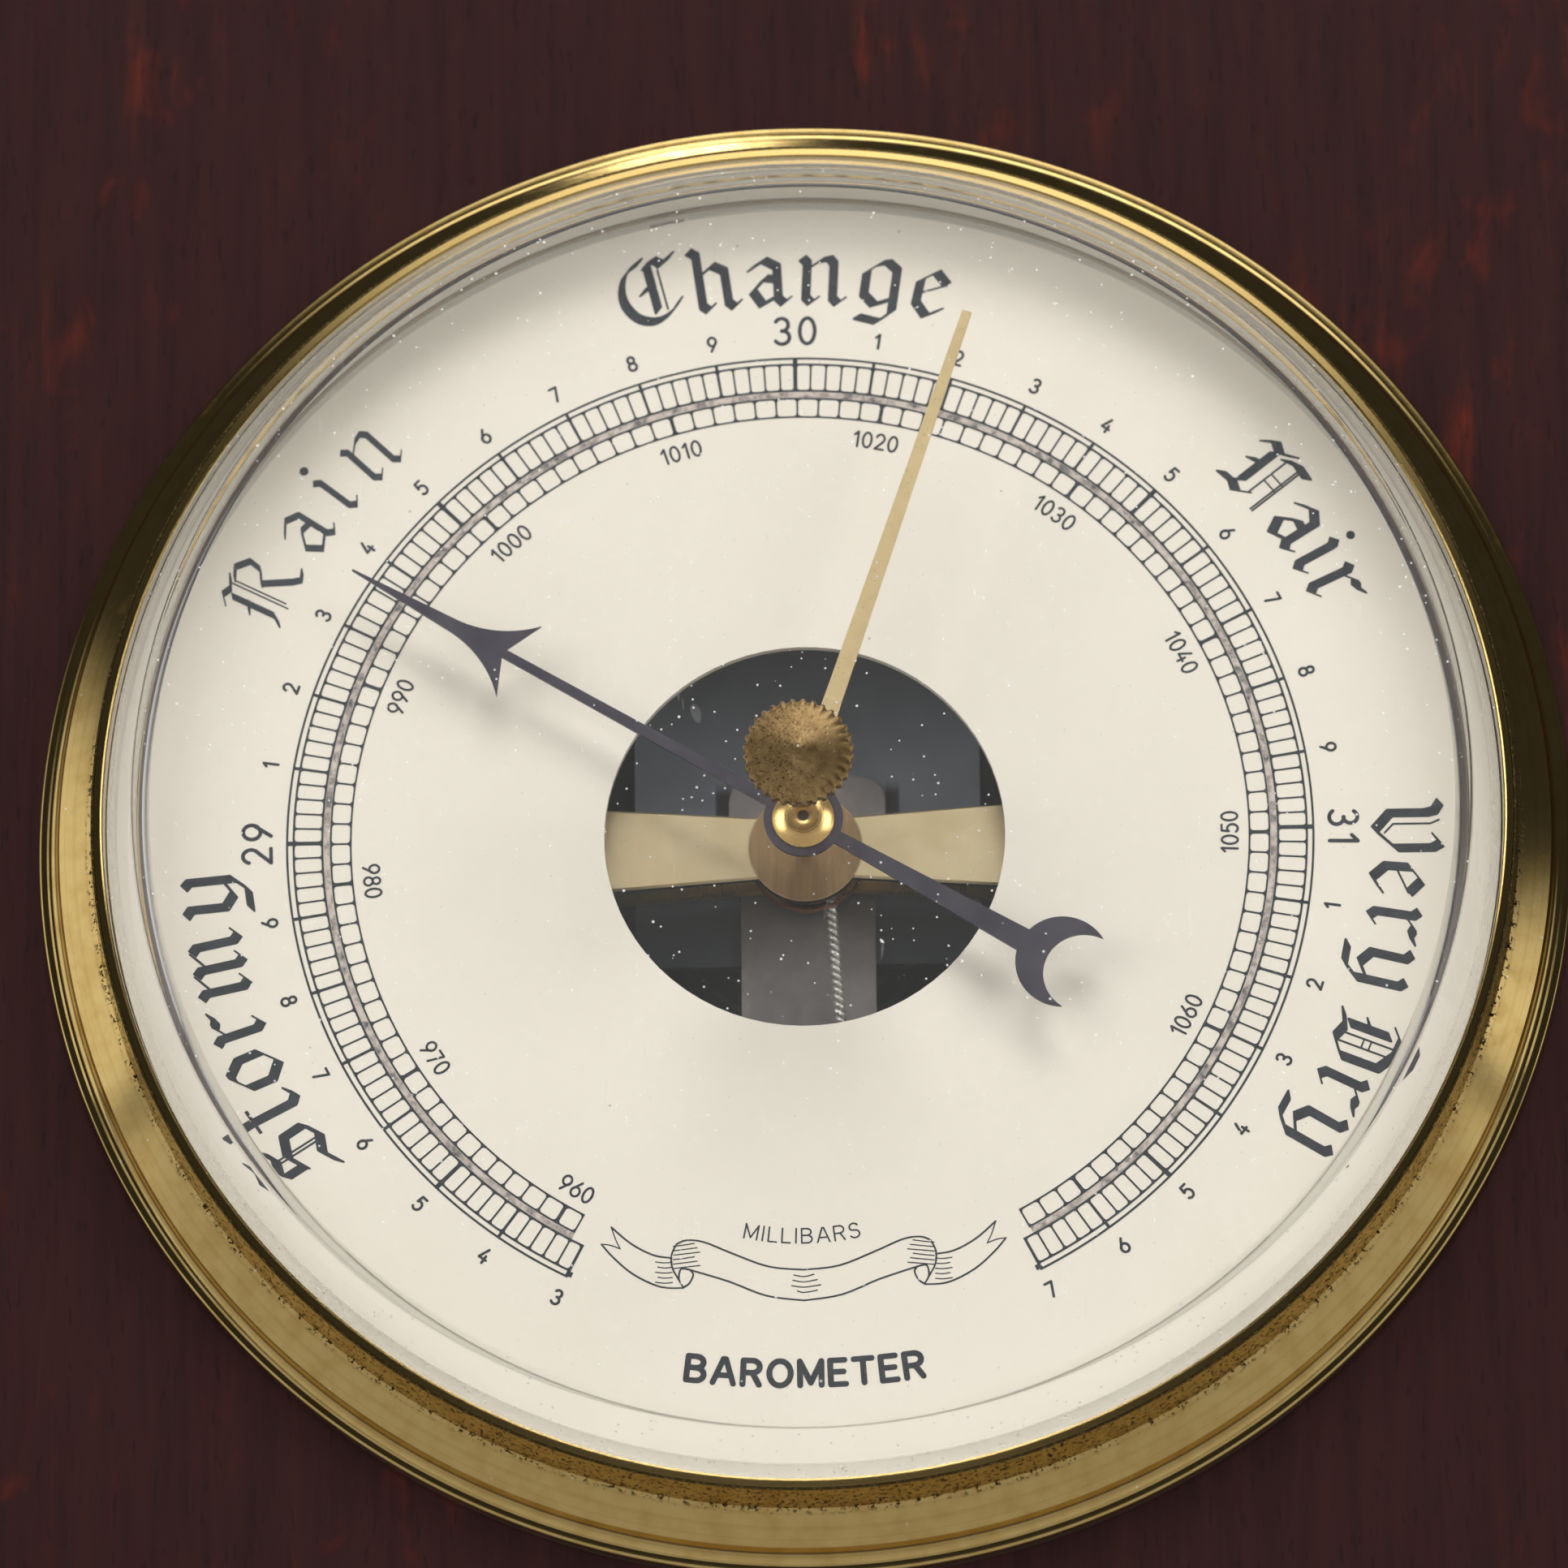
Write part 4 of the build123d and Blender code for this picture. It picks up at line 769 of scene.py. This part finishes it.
def ribbon():
    """A blank scroll under the scales, drawn in pen line."""
    pen, hair = round_nib(0.17, 6), round_nib(0.11, 6)
    half = [
        (pen, [(0.0, -41.6), (3.2, -41.25), (6.6, -39.9), (9.0, -38.85), (10.6, -38.65), (11.5, -39.0)]),
        (pen, [(0.0, -44.5), (3.4, -44.0), (6.8, -42.6), (10.3, -41.45)]),
        (pen, [(11.5, -39.0), (11.95, -40.0), (11.9, -41.2), (11.3, -42.4), (10.9, -43.1)]),
        (pen, [(10.3, -41.45), (10.0, -41.9), (10.35, -42.7), (10.9, -43.1)]),
        (pen, [(10.3, -41.45), (11.1, -41.35), (11.3, -42.3), (10.9, -43.1)]),
        (pen, [(11.95, -40.3), (13.6, -40.0), (15.6, -38.9), (17.4, -37.3)]),
        (pen, [(10.9, -43.15), (13.0, -43.0), (15.4, -41.8), (17.2, -40.2), (18.3, -38.9)]),
        (hair, [(17.4, -37.3), (17.0, -38.5), (16.6, -39.35)]),
        (hair, [(16.6, -39.35), (17.5, -39.0), (18.3, -38.9)]),
    ]
    for i in range(6):
        y = -39.2 - 0.42 * i
        half.append((hair, [(11.8, y), (10.9, y + 0.1), (9.9 - 0.25 * (i % 3), y + 0.25)]))
    for i in range(5):
        y = -40.7 - 0.48 * i
        half.append((hair, [(11.9, y), (12.6, y - 0.05), (13.4 - 0.2 * (i % 2), y + 0.05)]))
    shapes = []
    for nib, path in half:
        for side in (-1, 1):
            shapes += sweep(smooth_path([(side * x, y) for x, y in path], 4), nib)
    for i in range(4):
        wide = 1.5 - 0.3 * abs(i - 2)
        y = -42.15 - 0.5 * i
        shapes += sweep(smooth_path([(-wide + 0.2 * i, y + 0.06), (0.0, y - 0.1), (wide, y + 0.1)], 4), hair)
    return print_on_dial("print_ribbon", [flatten(shapes)], ink_dark)


inch_scale()
millibar_scale()
numerals()
words()
title()
ribbon()
tint = ink("dial_tint", tone(204, 190, 180))
print_on_dial("print_band", [flatten([ring_part(43.16, 43.68, -151.3, 151.6, 240)])], tint)


# ---------------------------------------------------------------- turned parts
def height_of(y):
    """Height above the dial face, in mm."""
    return (DIAL_Y - y) / MM


def bow(start, middle, end, steps=10):
    """Points of a shallow curve through three points."""
    found = []
    for i in range(steps + 1):
        t = i / steps
        shares = 2 * (t - 0.5) * (t - 1), -4 * t * (t - 1), 2 * t * (t - 0.5)
        found.append(tuple(sum(share * p[k] for share, p in zip(shares, (start, middle, end))) for k in (0, 1)))
    return found


def lathe(name, outline, node, material, around=900):
    """A closed outline of (radius, height) in mm, turned about the axis, in place of a CAD node."""
    count = len(outline)
    points = []
    for r, height in outline:
        for k in range(around):
            turn = 2 * math.pi * k / around
            points.append((r * math.cos(turn) * MM, DIAL_Y - height * MM, r * math.sin(turn) * MM))
    area = sum(a[0] * b[1] - b[0] * a[1] for a, b in zip(outline, outline[1:] + outline[:1]))
    faces = []
    for i in range(count):
        a, b = i * around, (i + 1) % count * around
        for k in range(around):
            n = (k + 1) % around
            face = (a + k, b + k, b + n, a + n)
            faces.append(face if area < 0 else face[::-1])
    made = piece(name, points, faces, "case", material, True)
    made.modifiers.new("crisp edges", "EDGE_SPLIT").split_angle = math.radians(24)
    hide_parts(node)


def build_turned():
    """The bezel, the ring inside it and the lens, as in the CAD but round enough for mirror reflections."""
    edge_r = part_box("bezel")[1].x / MM
    seat = height_of(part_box("bezel")[1].y)
    top = height_of(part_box("bezel")[0].y)
    crest_r, bore_r, rim_r, rim = edge_r - 2.0, edge_r - 5.7, edge_r - 1.75, seat + 0.62
    edge = bow((edge_r, seat + 0.7), (edge_r - 0.09, seat + 0.91), (edge_r - 0.3, seat + 1.0), 6)
    cove = bow((edge_r - 0.95, seat + 1.16), (crest_r + 0.3, seat + 1.6), (crest_r, seat + 2.74))
    shelf = [(edge_r - 0.75, seat + 1.0)]
    crest = bow(cove[-1], (crest_r - 0.05, seat + 2.80), (crest_r - 0.12, seat + 2.84), 3)[1:]
    wall = [(bore_r + 0.6, seat + 4.9), (bore_r + 0.2, top)]
    lathe("bezel_turned", [(bore_r, top), (bore_r, rim), (rim_r, rim), (rim_r, seat), (edge_r, seat)]
          + edge + shelf + cove + crest + wall, "bezel", finishes["bezel_brass"])
    low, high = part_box("retaining_ring")
    outer = high.x / MM
    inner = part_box("lens")[1].x / MM - 0.36
    foot, lip = height_of(high.y), height_of(low.y)
    lathe("retaining_ring_turned",
          [(inner, foot), (outer, foot), (outer, lip - 0.06), (inner + 0.26, lip), (inner, lip - 0.16)],
          "retaining_ring", ring_finish())
    foot_r, lens_r = inner + 0.36, inner - 0.04
    flat_r, wall_r = lens_r - 2.95, lens_r - 1.95
    hole_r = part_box("lens_bush")[1].x / MM - 0.58
    face = height_of(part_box("lens")[0].y)
    shoulder = bow((flat_r - 0.275, face), (flat_r - 0.034, face - 0.062), (flat_r + 0.147, face - 0.232), 8)
    lathe("lens_turned",
          [(hole_r, face)] + shoulder
          + [(flat_r + 1.6, face - 2.52), (lens_r, face - 4.72), (lens_r, 1.4), (foot_r, 1.4), (foot_r, 0.0),
             (wall_r, 0.0), (wall_r, 9.0), (wall_r - 1.8, face - 2.15), (flat_r - 1.6, face - 1.6),
             (hole_r, face - 1.6)],
          "lens", finishes["lens_clear"])


build_turned()


# ---------------------------------------------------------------- knob
def build_knob():
    """A low cone face with pits, a scalloped rim and a neck, as one closed shell round the axis."""
    low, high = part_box("knob")
    edge_r = high.x / MM
    point = -(low.y - DIAL_Y) / MM
    neck = -(high.y - DIAL_Y) / MM
    rim_back, rim_front = 22.0, 23.5
    teeth, notch_r, notch_out = 32, 0.31, 0.02
    around = teeth * 14
    rng = random.Random(7)
    pits = []
    for _ in range(240):
        reach = edge_r * 0.94 * math.sqrt(rng.random())
        turn = rng.gauss(math.pi, 0.85) if rng.random() < 0.8 else rng.uniform(0, 2 * math.pi)
        size = rng.uniform(0.07, 0.17)
        pits.append((reach * math.cos(turn), reach * math.sin(turn), size, size * rng.uniform(0.08, 0.22)))

    def edge(turn):
        pitch = 2 * math.pi / teeth
        away = ((turn + pitch / 2) % pitch - pitch / 2) * edge_r
        if abs(away) >= notch_r:
            return edge_r
        return min(edge_r, edge_r + notch_out - math.sqrt(notch_r ** 2 - away ** 2))

    def dent(x, z):
        found = 0.0
        for px, pz, size, deep in pits:
            d = (x - px) ** 2 + (z - pz) ** 2
            if d < (size * 1.3) ** 2:
                found = max(found, deep * max(0.0, 1 - d / size ** 2) ** 0.5 if d < size ** 2 else 0.0)
        return found

    face_r = edge_r - 0.26
    steps = 64
    rows = [(i / steps, face_r * i / steps, point - (point - rim_front) * i / steps, True)
            for i in range(1, steps + 1)]
    rows += [(1.0, edge_r - 0.10, rim_front - 0.05, False), (1.0, edge_r, rim_front - 0.18, False),
             (1.0, edge_r, rim_front - 0.7, False), (1.0, edge_r, rim_back + 0.16, False),
             (1.0, edge_r - 0.12, rim_back, False)]
    points = [(0.0, DIAL_Y - (point - 0.03) * MM, 0.0)]
    for share, r, height, face in rows:
        bite = 1.0 if not face else max(0.0, (share - 0.72) / 0.28) ** 2
        for k in range(around):
            turn = 2 * math.pi * k / around
            limit = edge(turn)
            real = r - (edge_r - limit) * bite
            x, z = real * math.cos(turn), real * math.sin(turn)
            drop = dent(x, z) if face else 0.0
            soft = 0.06 * max(0.0, 1 - r / 0.35) if face else 0.0
            points.append((x * MM, DIAL_Y - (height - drop - soft) * MM, z * MM))
    neck_r, bore_r = 1.9, 0.91
    plain = [(3.0, rim_back), (neck_r + 0.2, rim_back - 0.05), (neck_r, rim_back - 0.25),
             (neck_r, neck + 0.15), (neck_r - 0.12, neck), (bore_r, neck), (bore_r, neck + 0.2),
             (bore_r, rim_back + 0.5)]
    for r, height in plain:
        for k in range(around):
            turn = 2 * math.pi * k / around
            points.append((r * math.cos(turn) * MM, DIAL_Y - height * MM, r * math.sin(turn) * MM))
    points.append((0.0, DIAL_Y - (rim_back + 0.5) * MM, 0.0))
    ring_count = len(rows) + len(plain)
    faces = []
    for k in range(around):
        n = (k + 1) % around
        faces.append((0, 1 + k, 1 + n))
        for i in range(ring_count - 1):
            a, b = 1 + i * around, 1 + (i + 1) * around
            faces.append((a + k, b + k, b + n, a + n))
        last = 1 + (ring_count - 1) * around
        faces.append((last + k, len(points) - 1, last + n))
    made = piece("knob_scalloped", points, faces, "set_hand", finishes["knob_brass"], True)
    made.modifiers.new("crisp edges", "EDGE_SPLIT").split_angle = math.radians(42)
    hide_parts("knob")


build_knob()


# ---------------------------------------------------------------- chain
def twisted(line, normal, pitch, offset, strand_r, sides=8, per_turn=18, closed=False):
    """Two strands laid round a line of points: their points and faces."""
    length = [0.0]
    for a, b in zip(line, line[1:]):
        length.append(length[-1] + (b - a).length)
    total = length[-1]
    count = max(8, round(total / pitch * per_turn))
    points, faces = [], []
    cursor = 0
    centres = []
    for i in range(count if closed else count + 1):
        want = total * i / count
        while cursor < len(length) - 2 and length[cursor + 1] < want:
            cursor += 1
        span = length[cursor + 1] - length[cursor]
        share = (want - length[cursor]) / span if span else 0.0
        spot = line[cursor].lerp(line[cursor + 1], share)
        ahead = (line[cursor + 1] - line[cursor]).normalized()
        centres.append((want, spot, ahead))
    for strand in (0.0, math.pi):
        base = len(points)
        for want, spot, ahead in centres:
            side = ahead.cross(normal).normalized()
            lift = side.cross(ahead).normalized()
            turn = 2 * math.pi * want / pitch + strand
            centre = spot + (side * math.cos(turn) + lift * math.sin(turn)) * offset
            lay = math.atan2(2 * math.pi * offset, pitch)
            tangent = (ahead * math.cos(lay)
                       + (lift * math.cos(turn) - side * math.sin(turn)) * math.sin(lay)).normalized()
            u = (side * math.cos(turn) + lift * math.sin(turn)).normalized()
            v = tangent.cross(u).normalized()
            for k in range(sides):
                a = 2 * math.pi * k / sides
                points.append(centre + (u * math.cos(a) + v * math.sin(a)) * strand_r)
        rows = len(centres)
        for i in range(rows if closed else rows - 1):
            j = (i + 1) % rows
            for k in range(sides):
                n = (k + 1) % sides
                faces.append((base + i * sides + k, base + j * sides + k, base + j * sides + n,
                              base + i * sides + n))
        if not closed:
            faces.append(tuple(base + k for k in range(sides)))
            faces.append(tuple(base + (rows - 1) * sides + k for k in reversed(range(sides))))
    return points, faces


def ring_tube(centre, axis, ring_r, wire_r, around=32, sides=10):
    axis = axis.normalized()
    first = axis.orthogonal().normalized()
    second = axis.cross(first)
    points, faces = [], []
    for i in range(around):
        a = 2 * math.pi * i / around
        out = first * math.cos(a) + second * math.sin(a)
        for k in range(sides):
            b = 2 * math.pi * k / sides
            points.append(centre + out * (ring_r + wire_r * math.cos(b)) + axis * wire_r * math.sin(b))
    for i in range(around):
        j = (i + 1) % around
        for k in range(sides):
            n = (k + 1) % sides
            faces.append((i * sides + k, j * sides + k, j * sides + n, i * sides + n))
    return points, faces


def joined(*shells):
    points, faces = [], []
    for more_points, more_faces in shells:
        shift = len(points)
        points += more_points
        faces += [tuple(i + shift for i in face) for face in more_faces]
    return points, faces


def build_chain():
    low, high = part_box("chain")
    eye_r = 1.0
    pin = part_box("chain_pin")
    eye = Vector(((pin[0].x + 0.75 * MM), (pin[0].y + pin[1].y) / 2, (pin[0].z + pin[1].z) / 2))
    start = Vector((eye.x, eye.y, eye.z + 0.8 * MM))
    end = Vector((low.x + 0.45 * MM, low.y + 0.45 * MM, high.z - 0.02 * MM))
    end.y = DIAL_Y + 6.4 * MM
    run = twisted([start, end], Vector((0.0, 1.0, 0.0)), 1.44 * MM, 0.30 * MM, 0.23 * MM)
    loop = ring_tube(eye, Vector((1.0, 0.0, 0.0)), (eye_r - 0.27) * MM, 0.26 * MM)
    collar = ring_tube(start + Vector((0.0, 0.0, 0.25 * MM)), Vector((0.0, 0.0, 1.0)), 0.33 * MM, 0.14 * MM, 24, 8)
    points, faces = joined(run, loop, collar)
    made = piece("chain_twisted", points, faces, "chain", finishes["chain_steel"], True)
    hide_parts("chain")
    low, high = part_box("chain_wrap")
    centre = (low + high) / 2
    radius = (high.x - low.x) / 2 - 0.40 * MM
    circle = [centre + Vector((math.cos(a), 0.0, math.sin(a))) * radius
              for a in (2 * math.pi * i / 72 for i in range(73))]
    turns = round(2 * math.pi * radius / (1.44 * MM))
    pitch = sum((b - a).length for a, b in zip(circle, circle[1:])) / turns
    points, faces = twisted(circle, Vector((0.0, 1.0, 0.0)), pitch, 0.19 * MM, 0.2 * MM, closed=True)
    made = piece("chain_wrap_twisted", points, faces, "pointer", finishes["chain_steel"], True)
    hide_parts("chain_wrap")


build_chain()


# ---------------------------------------------------------------- floor, light and camera
def floor_finish():
    """Pale and faintly mottled from above; seen through from below."""
    f = Finish("floor_pale")
    cloud = f.noise(3.0, 3.0)
    pale = f.coat(base_color=f.mix(cloud, (0.57, 0.56, 0.55, 1.0), (0.53, 0.52, 0.51, 1.0)), roughness=0.8)
    clear = f.add("ShaderNodeBsdfTransparent").outputs[0]
    behind = f.add("ShaderNodeNewGeometry").outputs["Backfacing"]
    return f.done(f.add("ShaderNodeMixShader", {0: behind, 1: pale, 2: clear}).outputs[0])


def build_floor():
    reach = 4.0
    level = cad_box[0].z
    mesh = bpy.data.meshes.new("floor")
    mesh.from_pydata([(-reach, -reach, level), (reach, -reach, level), (reach, reach, level),
                      (-reach, reach, level)], [], [(0, 1, 2, 3)])
    mesh.materials.append(floor_finish())
    made = bpy.data.objects.new("floor", mesh)
    bpy.context.scene.collection.objects.link(made)


def softbox(name, place, wide, tall, power, colour=(1.0, 1.0, 1.0), aim=(0.0, -0.04, 0.0)):
    light = bpy.data.lights.new(name, "AREA")
    light.shape = "RECTANGLE"
    light.size, light.size_y = wide, tall
    light.energy = power
    light.color = colour
    made = bpy.data.objects.new(name, light)
    bpy.context.scene.collection.objects.link(made)
    made.location = place
    made.rotation_euler = (Vector(aim) - Vector(place)).to_track_quat("-Z", "Y").to_euler()
    return made


def build_light():
    """A soft surround with bright and dark zones for the brass, and a few softboxes."""
    f = Finish("studio", "worlds")
    bpy.context.scene.world = f.material

    def zone(toward, inner, outer, strength):
        way = Vector(toward).normalized()
        near = f.add("ShaderNodeVectorMath", {0: f.place, 1: tuple(way)}, operation="DOT_PRODUCT")
        edge = f.step(near.outputs["Value"], math.cos(math.radians(outer)), math.cos(math.radians(inner)))
        return f.sums("MULTIPLY", edge, strength)

    total = 0.035
    for toward, inner, outer, strength in (
            ((0.04, -0.66, 0.75), 8.0, 24.0, 2.4), ((-0.90, -0.42, 0.16), 12.0, 27.0, 0.85),
            ((0.90, -0.46, -0.05), 7.0, 20.0, 0.9), ((0.0, -1.0, -0.32), 8.0, 26.0, 0.30),
            ((0.3, 0.95, 0.25), 20.0, 50.0, 0.9), ((-0.7, 0.65, 0.2), 15.0, 45.0, 0.6)):
        total = f.sums("ADD", total, zone(toward, inner, outer, strength))
    sky = f.add("ShaderNodeBackground", {"Color": (1.0, 0.985, 0.965, 1.0), "Strength": total})
    f.add("ShaderNodeOutputWorld", {0: sky.outputs[0]})
    for name, place, wide, tall, power in (("key", (0.05, -0.80, 0.70), 0.6, 0.32, 3.6),
                                           ("key left", (-0.78, -0.80, 0.22), 0.5, 0.7, 4.9),
                                           ("key right", (0.78, -0.80, 0.16), 0.5, 0.7, 5.1)):
        softbox(name, place, wide, tall, power).visible_glossy = False
    softbox("top strip", (-0.13, -0.17, 1.0), 0.12, 0.16, 0.45)
    softbox("left strip", (-0.75, -0.55, -0.55), 0.10, 0.22, 0.40)
    softbox("right strip", (0.62, -0.70, -0.42), 0.08, 0.22, 0.35)


def build_camera():
    """Looks up at the dial from below, as the reference view does."""
    data = bpy.data.cameras.new("camera")
    data.sensor_width = 36.0
    data.lens = 243.77
    data.clip_start, data.clip_end = 0.05, 20.0
    made = bpy.data.objects.new("camera", data)
    bpy.context.scene.collection.objects.link(made)
    turn = (Matrix.Rotation(math.radians(90), 4, "X") @ Matrix.Rotation(math.radians(1.357), 4, "Y")
            @ Matrix.Rotation(math.radians(19.71), 4, "X") @ Matrix.Rotation(math.radians(-0.522), 4, "Z"))
    reference = Vector((PRINT_SHIFT * MM, DIAL_Y - 0.53 * MM, 0.0))
    seen = Vector((0.001443, -0.004706, -0.9777))
    made.matrix_world = Matrix.Translation(reference - turn.to_3x3() @ seen) @ turn
    bpy.context.scene.camera = made
    focus = bpy.data.objects.new("focus", None)
    bpy.context.scene.collection.objects.link(focus)
    focus.location = (0.0, DIAL_Y - 8 * MM, -12 * MM)
    data.dof.use_dof = True
    data.dof.focus_object = focus
    data.dof.aperture_fstop = 32.0


build_floor()
build_light()
build_camera()
bpy.context.scene.view_settings.view_transform = "Standard"
